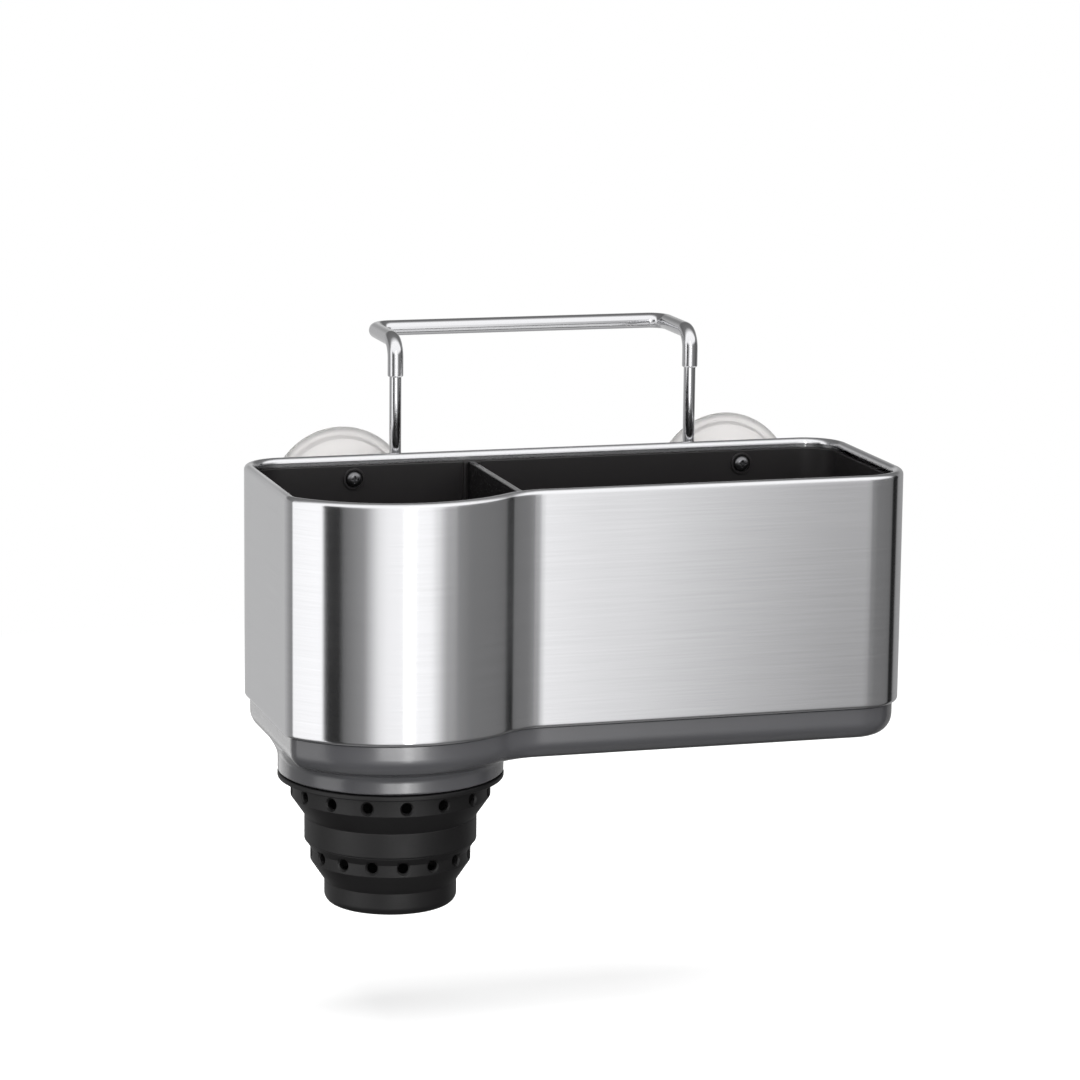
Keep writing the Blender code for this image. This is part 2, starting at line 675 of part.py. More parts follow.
def make_bracket():
    half = PLATE_LENGTH / 2
    bm = bmesh.new()
    low = (-half, PLATE_FRONT, -PLATE_BOTTOM)
    add_box(bm, low, (half, PLATE_BACK, PLATE_TOP))
    corners = [edge for edge in bm.edges if abs((edge.verts[0].co - edge.verts[1].co).y) > GAP]
    bmesh.ops.bevel(bm, geom=corners, offset=PLATE_CORNER, segments=CORNER_STEPS, affect="EDGES")
    bracket = mesh_object("hanger_bracket", bm, black)

    root = (PLATE_FRONT + PLATE_BACK) / 2
    socket_back = -CUP_SOCKET_BEHIND
    for side, x in SIDES:
        cup = x * SUCTION_SPACING / 2
        leg = x * LEG_SPACING / 2
        add = "socket_" + side
        high = (cup, socket_back, 0)
        piece = cylinder_piece(add, (cup, root, 0), high, CUP_SOCKET_RADIUS, SOCKET_STEPS)
        boolean(bracket, piece, "UNION")
        low = (leg, LEG_Y, -PLATE_BOTTOM)
        piece = cylinder_piece("guide_" + side, low, (leg, LEG_Y, PLATE_TOP), GUIDE_RADIUS)
        boolean(bracket, piece, "UNION")
        low = (cup, root, SCREW_HEIGHT)
        high = (cup, PLATE_BACK + SCREW_REACH, SCREW_HEIGHT)
        boolean(bracket, cylinder_piece("screw_boss_" + side, low, high, SCREW_BOSS), "UNION")

    for side, x in SIDES:
        cup = x * SUCTION_SPACING / 2
        leg = x * LEG_SPACING / 2
        low = (leg, LEG_Y, -PLATE_BOTTOM - GAP)
        high = (leg, LEG_Y, PLATE_TOP + GAP)
        boolean(bracket, cylinder_piece("guide_bore_" + side, low, high, ROD_RADIUS + GAP))
        lip = socket_back - CUP_SOCKET_LIP
        cavity = SUCTION_HEAD + GAP
        low = (cup, PLATE_BACK - GAP, 0)
        head_room = cylinder_piece("head_room_" + side, low, (cup, lip, 0), cavity, SOCKET_STEPS)
        boolean(bracket, head_room)
        high = (cup, socket_back + GAP, 0)
        neck = SUCTION_NECK + GAP
        low = (cup, lip - GAP, 0)
        boolean(bracket, cylinder_piece("neck_hole_" + side, low, high, neck, SOCKET_STEPS))
        low = (cup, PLATE_FRONT - GAP, SCREW_HEIGHT)
        high = (cup, PLATE_BACK + SCREW_REACH - SCREW_BOSS_FLOOR, SCREW_HEIGHT)
        hole = cylinder_piece("screw_hole_" + side, low, high, SCREW_SHANK + GAP, TINY_STEPS)
        boolean(bracket, hole)
    smooth(bracket)


def make_suction_cups():
    neck_front = CUP_SOCKET_BEHIND + CUP_SOCKET_LIP + GAP
    head_top = -PLATE_BACK - GAP
    shoulder_z = CUP_SOCKET_BEHIND - GAP
    profile = [
        (0, head_top), (SUCTION_HEAD, head_top), (SUCTION_HEAD, neck_front),
        (SUCTION_NECK, neck_front), (SUCTION_NECK, shoulder_z), (SUCTION_SHOULDER, shoulder_z),
        (SUCTION_RADIUS, SUCTION_LIP), (SUCTION_RADIUS, 0), (SUCTION_RADIUS - SUCTION_SEAL, 0),
        (SUCTION_HOLLOW_RADIUS, SUCTION_HOLLOW_THERE), (0, SUCTION_HOLLOW),
    ]
    for side, x in SIDES:
        place = (x * SUCTION_SPACING / 2, 0, 0)
        cup = turned("suction_cup_" + side, profile, clear, place, closed=False)
        cup.rotation_euler = (math.pi / 2, 0, 0)


def make_screws():
    head = SCREW_HEAD_HEIGHT
    length = PLATE_BACK + SCREW_REACH - SCREW_END_ROOM - SCREW_SEAT
    profile = [
        (0, head), (SCREW_CROWN, head - SCREW_CROWN_DROP), (SCREW_HEAD, SCREW_HEAD_SIDE),
        (SCREW_HEAD, 0), (SCREW_SHANK, 0), (SCREW_SHANK, -length), (0, -length),
    ]
    for side, x in SIDES:
        place = (x * SUCTION_SPACING / 2, SCREW_SEAT, SCREW_HEIGHT)
        screw = turned("screw_" + side, profile, black, place, SMALL_STEPS, closed=False)
        screw.rotation_euler = (math.pi / 2, 0, 0)
        for width, height in ((RECESS_WIDTH, RECESS_LENGTH), (RECESS_LENGTH, RECESS_WIDTH)):
            bm = bmesh.new()
            low = (-width / 2, -head - GAP, -height / 2)
            add_box(bm, low, (width / 2, RECESS_DEPTH - head, height / 2))
            boolean(screw, mesh_object("recess_" + side, bm, location=place))


clear_scene()
parts = new_collection("sink_organizer")
cutters = new_collection("cutters")
SIDES = (("left", -1), ("right", 1))
steel = plain_material("brushed_stainless_steel", STEEL, 0.32, 1)
chrome = plain_material("polished_chrome", CHROME, 0.06, 1)
black = plain_material("black_plastic", BLACK, 0.4)
grey = plain_material("grey_plastic", GREY, 0.35)
black_silicone = plain_material("black_silicone", BLACK, 0.55)
clear = plain_material("clear_vinyl", CLEAR, 0.2)
outline = sleeve_outline()
make_sleeve()
make_liner()
make_divider()
make_tray()
make_cup()
make_hanger()
make_bracket()
make_suction_cups()
make_screws()
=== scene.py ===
# %% [markdown]
# # A steel sink organizer
#
# The organizer hangs inside a sink. A brushed steel sleeve wraps a black liner with two pockets,
# a grey tray closes it below, and a folding silicone cup under the brush pocket catches the drips.
# A chrome hanger reaches over the sink's edge, and two suction cups hold the back to the wall.
#
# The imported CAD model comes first. It gives every place and size, and its box is the limit
# that the finer pieces made below stay inside.

# %% Load the frame
import math

import bmesh
import bpy
from mathutils import Matrix, Vector


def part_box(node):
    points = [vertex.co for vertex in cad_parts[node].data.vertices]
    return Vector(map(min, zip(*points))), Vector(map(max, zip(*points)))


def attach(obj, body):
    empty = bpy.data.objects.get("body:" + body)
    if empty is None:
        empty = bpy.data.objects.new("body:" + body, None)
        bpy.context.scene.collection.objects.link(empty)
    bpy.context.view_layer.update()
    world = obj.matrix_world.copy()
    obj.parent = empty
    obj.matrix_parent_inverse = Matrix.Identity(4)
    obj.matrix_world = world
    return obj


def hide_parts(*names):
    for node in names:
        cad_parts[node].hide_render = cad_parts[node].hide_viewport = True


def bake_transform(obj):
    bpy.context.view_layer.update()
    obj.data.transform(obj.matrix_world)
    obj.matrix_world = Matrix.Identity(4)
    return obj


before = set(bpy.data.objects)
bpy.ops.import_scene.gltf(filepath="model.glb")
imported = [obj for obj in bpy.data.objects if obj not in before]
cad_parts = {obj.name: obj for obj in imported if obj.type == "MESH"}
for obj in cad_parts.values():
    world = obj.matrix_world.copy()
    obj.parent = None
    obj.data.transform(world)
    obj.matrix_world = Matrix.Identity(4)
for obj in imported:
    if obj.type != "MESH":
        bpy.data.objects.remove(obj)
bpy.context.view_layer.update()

# %% [markdown]
# ## Sizes
#
# Blender works in metres. The sleeve's plan is a rectangle with three round corners and a round
# bulge at its left front, so a few radii and centres describe it. Most places are read from the
# CAD nodes' boxes. Only radii that no box shows are written here.

# %% Driving sizes
MM = 0.001
FIT = 0.3 * MM  # play between pieces that drop or slide into each other
SLEEVE_LOW, SLEEVE_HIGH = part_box("steel_sleeve")
LINER_LOW, LINER_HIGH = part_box("liner")
TRAY_LOW, TRAY_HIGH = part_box("base_tray")

LEFT, RIGHT = SLEEVE_LOW.x, SLEEVE_HIGH.x
BACK = SLEEVE_HIGH.y
TOP, BOTTOM = SLEEVE_HIGH.z, SLEEVE_LOW.z
PANEL_DEPTH = 82.5 * MM
PANEL = BACK - PANEL_DEPTH
BULGE_RADIUS = 50 * MM
BULGE_FROM_LEFT = 41.4 * MM
BULGE = Vector((LEFT + BULGE_FROM_LEFT, SLEEVE_LOW.y + BULGE_RADIUS, 0))
EDGE_CORNER = 9 * MM
FILLET = 20 * MM
RIGHT_CORNER = 18 * MM
BACK_CORNER = 14.6 * MM
print(f"sleeve {(RIGHT - LEFT) / MM:.0f} x {(BACK - SLEEVE_LOW.y) / MM:.1f} mm")
print(f"panel at y {PANEL / MM:.1f} mm")

# %% [markdown]
# ## Moves that every piece uses
#
# Pieces are drawn the way a modeller does by hand. A line starts as one point, is extruded for
# straights and spun for bends, and the finished line is then spun or extruded into a surface.
# Spin turns clockwise for a positive angle, so `bend` flips the sign to the usual one.

# %% Drawing moves
AXES = {"X": (1, 0, 0), "Y": (0, 1, 0), "Z": (0, 0, 1)}
NEAR = 0.01 * MM  # points closer than this are one point


def add_shape(add, name, **settings):
    """Add a starting shape, which is then all that is selected."""
    bpy.ops.object.select_all(action="DESELECT")
    add(**settings)
    shape = bpy.context.object
    shape.name = name
    return shape


def edit_all():
    bpy.ops.object.mode_set(mode="EDIT")
    bpy.ops.mesh.select_all(action="SELECT")


def begin_line(name, point):
    """Start a piece as a single point in edit mode."""
    piece = add_shape(bpy.ops.mesh.primitive_plane_add, name, size=MM, location=point)
    bpy.ops.object.transform_apply(location=True)
    edit_all()
    bpy.ops.mesh.merge(type="CENTER")
    return piece


def draw(x=0, y=0, z=0):
    bpy.ops.mesh.extrude_region_move(TRANSFORM_OT_translate={"value": (x, y, z)})


def bend(centre, degrees, axis="Z", steps=8):
    bpy.ops.mesh.spin(steps=steps, angle=-math.radians(degrees), center=centre, axis=AXES[axis])


def select_points(piece, test):
    """Select the points whose place passes the test, and the edges and faces between them."""
    bm = bmesh.from_edit_mesh(piece.data)
    for point in bm.verts:
        point.select = test(point.co)
    bm.select_mode = {"VERT"}
    bm.select_flush_mode()
    bmesh.update_edit_mesh(piece.data)


def close_surface():
    """Merge what meets, and turn all faces outwards."""
    bpy.ops.mesh.select_all(action="SELECT")
    bpy.ops.mesh.remove_doubles(threshold=NEAR)
    bpy.ops.mesh.normals_make_consistent(inside=False)


# %% Finishing moves
def use_only(piece):
    if bpy.context.object and bpy.context.object.mode == "EDIT":
        bpy.ops.object.mode_set(mode="OBJECT")
    bpy.ops.object.select_all(action="DESELECT")
    piece.select_set(True)
    bpy.context.view_layer.objects.active = piece


def apply_modifier(piece, kind, **settings):
    use_only(piece)
    modifier = piece.modifiers.new(kind, kind)
    for name, value in settings.items():
        setattr(modifier, name, value)
    bpy.ops.object.modifier_apply(modifier=modifier.name)


def soften(piece, width, segments=3, angle=30):
    apply_modifier(
        piece, "BEVEL", width=width, segments=segments, limit_method="ANGLE",
        angle_limit=math.radians(angle),
    )


def thicken(piece, thickness):
    """Thicken a surface towards the inside, so that the outer face keeps its size."""
    apply_modifier(piece, "SOLIDIFY", thickness=thickness, offset=-1, use_even_offset=True)


def combine(piece, other, operation):
    """Cut, join or intersect the piece with another one, which is then removed."""
    apply_modifier(piece, "BOOLEAN", object=other, operation=operation, solver="EXACT")
    bpy.data.objects.remove(other)


def settle(piece, angle):
    """Leave the piece at the origin, unturned, with its normals outwards and shaded smooth.

    Weighted normals keep long flat faces flat beside their rounded edges.
    """
    use_only(piece)
    bpy.ops.object.transform_apply(location=True, rotation=True, scale=True)
    edit_all()
    bpy.ops.mesh.normals_make_consistent(inside=False)
    bpy.ops.object.mode_set(mode="OBJECT")
    bpy.ops.object.shade_smooth_by_angle(angle=math.radians(angle))
    apply_modifier(piece, "WEIGHTED_NORMAL", mode="FACE_AREA", weight=100, keep_sharp=True)


def hand_over(piece, finish, body, *nodes, angle=35):
    """Settle a piece, give it its finish, and let it stand for its CAD nodes on their body."""
    settle(piece, angle)
    piece.data.materials.clear()
    piece.data.materials.append(finish)
    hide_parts(*nodes)
    if body:
        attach(piece, body)
    faces = len(piece.data.polygons)
    print(f"{piece.name}: {faces} faces, finish {finish.name}, stands for {', '.join(nodes)}")


# %% [markdown]
# ## Finishes
#
# Colours are written as the sRGB values that a paint program shows, and one function turns them
# into the linear light that the shaders use. One small function adds a node with its settings
# and links. Patterns read Object coordinates, so their scale is a real size on the piece.

# %% Material helpers
def linear(code):
    """An sRGB hex colour such as '8a8a8c' as linear RGBA."""
    parts = [int(code[i : i + 2], 16) / 255 for i in (0, 2, 4)]
    return [c / 12.92 if c <= 0.04045 else ((c + 0.055) / 1.055) ** 2.4 for c in parts] + [1]


def add_node(tree, kind, links=None, **settings):
    """Add a node. Settings name its properties or sockets, and links join sockets to others."""
    node = tree.nodes.new(kind)
    for name, value in settings.items():
        label = name.replace("_", " ").title()
        if label in node.inputs:
            node.inputs[label].default_value = value
        else:
            setattr(node, name, value)
    for name, socket in (links or {}).items():
        tree.links.new(socket, node.inputs[name])
    return node


def set_inputs(node, values):
    for name, value in values.items():
        node.inputs[name].default_value = value


def compute(tree, operation, *values):
    """The result of a math node. Each value is a number, or the socket that gives it."""
    node = add_node(tree, "ShaderNodeMath", operation=operation)
    for i, value in enumerate(values):
        if isinstance(value, (int, float)):
            node.inputs[i].default_value = value
        else:
            tree.links.new(value, node.inputs[i])
    return node.outputs[0]


def distance(tree, place):
    node = add_node(tree, "ShaderNodeVectorMath", {0: place}, operation="LENGTH")
    return node.outputs["Value"]


def begin_finish(name, slot):
    """A material with its Principled shader, and the Object coordinates that patterns read."""
    finish = bpy.data.materials.new(name)
    finish["slot"] = slot
    finish.use_nodes = True
    tree = finish.node_tree
    shader = tree.nodes["Principled BSDF"]
    place = add_node(tree, "ShaderNodeTexCoord").outputs["Object"]
    return finish, tree, shader, place


def lay_grain(tree, place, size, detail, stretch=(1, 1, 1)):
    """Noise whose features are about size metres, longer along the axes with a stretch over 1."""
    scale = [1 / (size * s) for s in stretch]
    mapping = add_node(tree, "ShaderNodeMapping", {"Vector": place}, Scale=scale)
    vector = mapping.outputs["Vector"]
    noise = add_node(tree, "ShaderNodeTexNoise", {"Vector": vector}, Scale=1.0, Detail=detail)
    return noise.outputs["Fac"]


def spread(tree, value, low, high, start=0.3, end=0.7):
    """Map a pattern from its usual span onto low to high."""
    node = add_node(tree, "ShaderNodeMapRange", {"Value": value})
    set_inputs(node, {"From Min": start, "From Max": end, "To Min": low, "To Max": high})
    return node.outputs["Result"]


def vary_colour(tree, shader, pattern, dark, bright):
    """The pattern moves the base colour between two sRGB hex colours."""
    mix = add_node(tree, "ShaderNodeMix", {"Factor": pattern}, data_type="RGBA")
    set_inputs(mix, {"A": linear(dark), "B": linear(bright)})
    tree.links.new(mix.outputs["Result"], shader.inputs["Base Color"])


def vary_roughness(tree, shader, pattern, low, high, **span):
    rough = spread(tree, pattern, low, high, **span)
    tree.links.new(rough, shader.inputs["Roughness"])


def raise_bump(tree, shader, height, depth):
    bump = add_node(tree, "ShaderNodeBump", {"Height": height}, Distance=depth, Strength=1.0)
    tree.links.new(bump.outputs["Normal"], shader.inputs["Normal"])


# %% [markdown]
# ### Brushed stainless steel
#
# The brush lines run level round the body, so each reflection is drawn out up and down into a
# tall streak but stays sharp from side to side. That is what makes the dark and bright bands.
# Anisotropy does the stretching, and its tangent runs level round the vertical axis. Real lines
# are too fine for a picture, so they are drawn at 0.35 mm.

# %% Brushed steel finish
def brushed_stainless_steel():
    finish, tree, shader, place = begin_finish(
        "stainless_steel_belt_brushed", "brushed_stainless_steel"
    )
    lines = lay_grain(tree, place, 0.35 * MM, detail=3.0, stretch=(80, 80, 1))
    clouds = lay_grain(tree, place, 30 * MM, detail=2.0)
    vary_colour(tree, shader, lines, "c8c8ca", "d6d6d8")
    mixed = compute(tree, "ADD", lines, clouds)
    vary_roughness(tree, shader, mixed, 0.165, 0.185, start=0.7, end=1.3)
    level = add_node(tree, "ShaderNodeTangent", direction_type="RADIAL", axis="Z")
    tree.links.new(level.outputs["Tangent"], shader.inputs["Tangent"])
    set_inputs(shader, {"Metallic": 1.0, "Anisotropic": 1.0, "Anisotropic Rotation": 0.25})
    raise_bump(tree, shader, lines, depth=0.0018 * MM)
    return finish


steel = brushed_stainless_steel()

# %% [markdown]
# ### Chrome, plastics, silicone and vinyl
#
# The hanger is chrome-plated wire: a mirror with a faint unevenness. The liner and the bracket
# are injection-moulded ABS with a fine spark-eroded texture that breaks the gloss. The tray is
# ABS from a smoother mould. The cup is matt silicone, nearly black.

# %% Polished and moulded finishes
def polished_chrome():
    finish, tree, shader, place = begin_finish("steel_wire_chrome_plated", "polished_chrome")
    ripple = lay_grain(tree, place, 6 * MM, detail=1.0)
    set_inputs(shader, {"Base Color": linear("c8c8ca"), "Metallic": 1.0})
    vary_roughness(tree, shader, ripple, 0.11, 0.15)
    raise_bump(tree, shader, ripple, depth=0.006 * MM)
    return finish


def blackened_steel():
    """Screws get a thin dark skin with a dull gleam from a hot oxide bath."""
    finish, tree, shader, place = begin_finish("steel_black_oxide", "black_plastic")
    grain = lay_grain(tree, place, 0.3 * MM, detail=2.0)
    set_inputs(shader, {"Base Color": linear("757577"), "Metallic": 1.0})
    vary_roughness(tree, shader, grain, 0.3, 0.38)
    raise_bump(tree, shader, grain, depth=0.004 * MM)
    return finish


ROUGH_SPAN = 0.04  # a moulded face is this much smoother or rougher from spot to spot


def moulded_plastic(name, slot, dark, bright, rough, texture, depth, index=1.53):
    """Moulded ABS: dark and bright limit its colour, texture and depth are the mould's grain."""
    finish, tree, shader, place = begin_finish(name, slot)
    grain = lay_grain(tree, place, texture, detail=3.0)
    flow = lay_grain(tree, place, 25 * MM, detail=2.0)
    vary_colour(tree, shader, flow, dark, bright)
    vary_roughness(tree, shader, grain, rough - ROUGH_SPAN, rough + ROUGH_SPAN)
    set_inputs(shader, {"IOR": index})
    raise_bump(tree, shader, grain, depth)
    return finish


def moulded_silicone():
    finish, tree, shader, place = begin_finish("silicone_rubber_moulded_matt", "black_silicone")
    grain = lay_grain(tree, place, 0.4 * MM, detail=2.0)
    bloom = lay_grain(tree, place, 9 * MM, detail=3.0)
    vary_colour(tree, shader, bloom, "0e0d0e", "141314")
    vary_roughness(tree, shader, bloom, 0.46, 0.54)
    set_inputs(shader, {"IOR": 1.41})
    raise_bump(tree, shader, grain, depth=0.02 * MM)
    return finish


def soft_vinyl():
    """Milky PVC. Light passes through it clouded. Its rim is painted darker grey: painted shade
    for the dark edge that refraction gives.
    """
    finish, tree, shader, place = begin_finish("soft_pvc_milky", "clear_vinyl")
    haze = lay_grain(tree, place, 12 * MM, detail=2.0)
    low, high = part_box("suction_cup_right")
    middle, radius = (low + high) / 2, (high.x - low.x) / 2
    parts = add_node(tree, "ShaderNodeSeparateXYZ", {"Vector": place})
    aside = compute(tree, "ABSOLUTE", parts.outputs["X"])
    offset = compute(tree, "SUBTRACT", aside, middle.x)
    flat = add_node(tree, "ShaderNodeCombineXYZ", {"X": offset, "Y": parts.outputs["Z"]})
    away = distance(tree, flat.outputs[0])
    # Painted shade: the colour turns grey over the outer 1.8 mm of the disc, in place of the dark
    # edge that refraction gives.
    rim = spread(tree, away, 0, 1, start=radius - 1.8 * MM, end=radius - 0.6 * MM)
    vary_colour(tree, shader, rim, "dddbda", "b9b8b7")
    set_inputs(shader, {"Transmission Weight": 0.5, "IOR": 1.4})
    vary_roughness(tree, shader, haze, 0.5, 0.6)
    raise_bump(tree, shader, haze, depth=0.05 * MM)
    return finish


chrome = polished_chrome()
black_abs = moulded_plastic(
    "abs_black_spark_textured", "black_plastic", "1d1b1c", "232122",
    rough=0.38, texture=0.5 * MM, depth=0.01 * MM,
)
gloss_abs = moulded_plastic(
    "abs_black_polished", "black_plastic", "1b1a1b", "1f1e1f",
    rough=0.24, texture=0.6 * MM, depth=0.003 * MM,
)
grey_abs = moulded_plastic(
    "abs_grey_moulded", "grey_plastic", "48484a", "4d4d50",
    rough=0.21, texture=0.8 * MM, depth=0.001 * MM, index=1.6,
)
silicone = moulded_silicone()
vinyl = soft_vinyl()
blackened = blackened_steel()
print("finishes:", sorted(material.name for material in bpy.data.materials))

# %% [markdown]
# ## The way round the body
#
# Sleeve, liner and tray all follow one plan at different insets. The section of each is drawn
# once at the left wall, where the plan starts, and is then carried round: it is spun about the
# centre of each corner and extruded along each straight. Every inset shares those centres, so
# the three shells stay parallel. Each straight has a short step at both ends, which keeps the
# flat walls flat when the surface is shaded smooth.

# %% Carry a section round the plan
EDGE_CENTRE = Vector((LEFT + EDGE_CORNER, 0, 0))
reach_down = math.sqrt((BULGE_RADIUS - EDGE_CORNER) ** 2 - (BULGE.x - EDGE_CENTRE.x) ** 2)
EDGE_CENTRE.y = BULGE.y - reach_down
FILLET_CENTRE = Vector((0, PANEL - FILLET, 0))
reach_aside = math.sqrt((BULGE_RADIUS + FILLET) ** 2 - (BULGE.y - FILLET_CENTRE.y) ** 2)
FILLET_CENTRE.x = BULGE.x + reach_aside
EDGE_TURN, FILLET_TURN = (
    math.degrees(math.atan2(centre.y - BULGE.y, centre.x - BULGE.x))
    for centre in (EDGE_CENTRE, FILLET_CENTRE)
)
END_STEP = 0.6 * MM


def straight(x=0, y=0):
    way = Vector((x, y))
    end = way.normalized() * END_STEP
    for step in (end, way - 2 * end, end):
        draw(*step)


def carry_round_body(fine=2.5):
    """Carry the drawn section once round the plan, with an arc point every fine degrees."""
    bpy.ops.mesh.select_all(action="SELECT")
    bend(EDGE_CENTRE, 180 + EDGE_TURN, steps=10)
    bend(BULGE, FILLET_TURN - EDGE_TURN, steps=round((FILLET_TURN - EDGE_TURN) / fine))
    bend(FILLET_CENTRE, -(FILLET_TURN + 90), steps=14)
    straight(x=RIGHT - RIGHT_CORNER - FILLET_CENTRE.x)
    bend((RIGHT - RIGHT_CORNER, PANEL + RIGHT_CORNER, 0), 90, steps=20)
    straight(y=BACK - BACK_CORNER - PANEL - RIGHT_CORNER)
    bend((RIGHT - BACK_CORNER, BACK - BACK_CORNER, 0), 90, steps=18)
    straight(x=LEFT - RIGHT + 2 * BACK_CORNER)
    bend((LEFT + BACK_CORNER, BACK - BACK_CORNER, 0), 90, steps=18)
    straight(y=EDGE_CENTRE.y - BACK + BACK_CORNER)
    close_surface()


print(f"bulge from {EDGE_TURN:.1f} to {FILLET_TURN:.1f} degrees")
print(f"fillet at x {FILLET_CENTRE.x / MM:.1f} mm")

# %% [markdown]
# ## Steel sleeve
#
# The sleeve is a closed band of sheet. Its top edge is rolled inwards so that it has no sharp
# lip, and its lower edge is turned under. A section line with those two rolls is carried round
# the body and thickened towards the inside.

# %% Sleeve
SHEET = 0.8 * MM
TOP_ROLL = 1.8 * MM
BOTTOM_ROLL = 1.5 * MM
BOTTOM_LIP = 0.7 * MM


def make_sleeve():
    start = Vector((LEFT, EDGE_CENTRE.y, 0))
    sleeve = begin_line("sleeve_brushed", start + Vector((BOTTOM_ROLL + BOTTOM_LIP, 0, BOTTOM)))
    draw(x=-BOTTOM_LIP)
    bend(start + Vector((BOTTOM_ROLL, 0, BOTTOM + BOTTOM_ROLL)), 90, "Y", 7)
    draw(z=END_STEP)
    draw(z=TOP - BOTTOM - TOP_ROLL - BOTTOM_ROLL - 2 * END_STEP)
    draw(z=END_STEP)
    bend(start + Vector((TOP_ROLL, 0, TOP - TOP_ROLL)), 180, "Y", 14)
    carry_round_body()
    thicken(sleeve, SHEET)
    hand_over(sleeve, steel, "caddy", "steel_sleeve")
    return sleeve


sleeve = make_sleeve()

# %% [markdown]
# ## Liner
#
# The liner is one black moulding: a wall that follows the sleeve, and a slotted floor under the
# sponge. The brush side has no floor, so that water falls into the cup. The wall is a line
# carried round and thickened. The floor is one loop filled with a face, cut off at the divider,
# extruded down and slotted. Four ribs hold the divider, and each screw has a round seat.

# %% Liner sizes
LINER_INSET = LINER_LOW.x - LEFT
LINER_WALL = 1.4 * MM
LINER_INNER = LINER_INSET + LINER_WALL
DIVIDER_LOW, DIVIDER_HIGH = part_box("divider")
FLOOR_TOP = DIVIDER_LOW.z - FIT
FLOOR_THICKNESS = 1.8 * MM
FLOOR_LEDGE = 1.9 * MM
FLOOR_LEFT = DIVIDER_LOW.x - FLOOR_LEDGE
SLOT_WIDTH = 3.2 * MM
SLOT_PITCH = 14 * MM
SLOT_MARGIN = 13 * MM
SLOT_ROUND = 0.45 * SLOT_WIDTH
RIB_WIDTH = 1.6 * MM
RIB_ROOT = 0.7 * MM
RIB_REACH = 0.9 * MM
SCREW_LOW, SCREW_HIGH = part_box("screw_right")
SCREW_X = (SCREW_LOW.x + SCREW_HIGH.x) / 2
SCREW_Z = (SCREW_LOW.z + SCREW_HIGH.z) / 2
SEAT_Y = BACK - LINER_INNER
SEAT_PROUD = 0.8 * MM
SEAT_RADIUS = 3.8 * MM
SEAT_INNER = 3.1 * MM
SHANK_HOLE = 1.8 * MM


# %% Boxes and rods
def add_box(name, low, high):
    centre = (Vector(low) + Vector(high)) / 2
    box = add_shape(bpy.ops.mesh.primitive_cube_add, name, size=1, location=centre)
    box.scale = Vector(high) - Vector(low)
    bpy.ops.object.transform_apply(location=True, scale=True)
    return box


def add_rod(name, start, end, radius, sides=48):
    way = Vector(end) - Vector(start)
    add = bpy.ops.mesh.primitive_cylinder_add
    rod = add_shape(add, name, vertices=sides, radius=radius, depth=way.length)
    rod.location = (Vector(start) + Vector(end)) / 2
    rod.rotation_euler = way.to_track_quat("Z", "Y").to_euler()
    bpy.ops.object.transform_apply(location=True, rotation=True)
    return rod


# %% Liner floor
def make_liner_floor(start):
    floor = begin_line("liner_floor", start + Vector((LINER_WALL / 2, 0, FLOOR_TOP - LINER_LOW.z)))
    carry_round_body(4)
    bpy.ops.mesh.edge_face_add()
    bpy.ops.mesh.bisect(
        plane_co=(FLOOR_LEFT, 0, 0), plane_no=(1, 0, 0), use_fill=False, clear_inner=True,
    )
    select_points(floor, lambda place: True)
    bpy.ops.mesh.extrude_region_move(TRANSFORM_OT_translate={"value": (0, 0, -FLOOR_THICKNESS)})
    close_surface()
    use_only(floor)

    room = RIGHT - FLOOR_LEFT - 2 * SLOT_MARGIN
    count = int(room / SLOT_PITCH) + 1
    first = (FLOOR_LEFT + RIGHT - (count - 1) * SLOT_PITCH) / 2
    for i in range(count):
        x = first + i * SLOT_PITCH
        low = (x - SLOT_WIDTH / 2, PANEL + SLOT_MARGIN, FLOOR_TOP - 2 * FLOOR_THICKNESS)
        high = (x + SLOT_WIDTH / 2, BACK - SLOT_MARGIN, FLOOR_TOP + FLOOR_THICKNESS)
        slot = add_box("slot", low, high)
        soften(slot, SLOT_ROUND, segments=5, angle=60)
        combine(floor, slot, "DIFFERENCE")
    print("floor slots:", count)
    return floor


# %% Ribs and screw seats
def add_ribs(liner):
    middle = (DIVIDER_LOW.x + DIVIDER_HIGH.x) / 2
    for wall, inward in ((DIVIDER_LOW.y - FIT, 1), (DIVIDER_HIGH.y + FIT, -1)):
        for side in (-1, 1):
            near = middle + side * ((DIVIDER_HIGH.x - DIVIDER_LOW.x) / 2 + FIT)
            far = near + side * RIB_WIDTH
            ends = sorted((wall - inward * RIB_ROOT, wall + inward * RIB_REACH))
            low = (min(near, far), ends[0], FLOOR_TOP - FIT)
            rib = add_box("rib", low, (max(near, far), ends[1], DIVIDER_HIGH.z))
            soften(rib, 0.4 * MM, segments=2, angle=60)
            combine(liner, rib, "UNION")


def add_screw_rod(name, side, front, back, radius):
    """A rod on the axis of a screw, from one y to another."""
    x = side * SCREW_X
    return add_rod(name, (x, front, SCREW_Z), (x, back, SCREW_Z), radius)


def add_screw_seats(liner):
    for side in (-1, 1):
        seat = add_screw_rod("seat", side, SEAT_Y - SEAT_PROUD, SEAT_Y + SEAT_PROUD, SEAT_RADIUS)
        soften(seat, 0.25 * MM, segments=2, angle=50)
        dish = add_screw_rod("dish", side, SEAT_Y - 2 * SEAT_PROUD, SEAT_Y, SEAT_INNER)
        hole = add_screw_rod("hole", side, SEAT_Y - MM, SEAT_Y + 3 * MM, SHANK_HOLE)
        combine(liner, seat, "UNION")
        combine(liner, dish, "DIFFERENCE")
        combine(liner, hole, "DIFFERENCE")


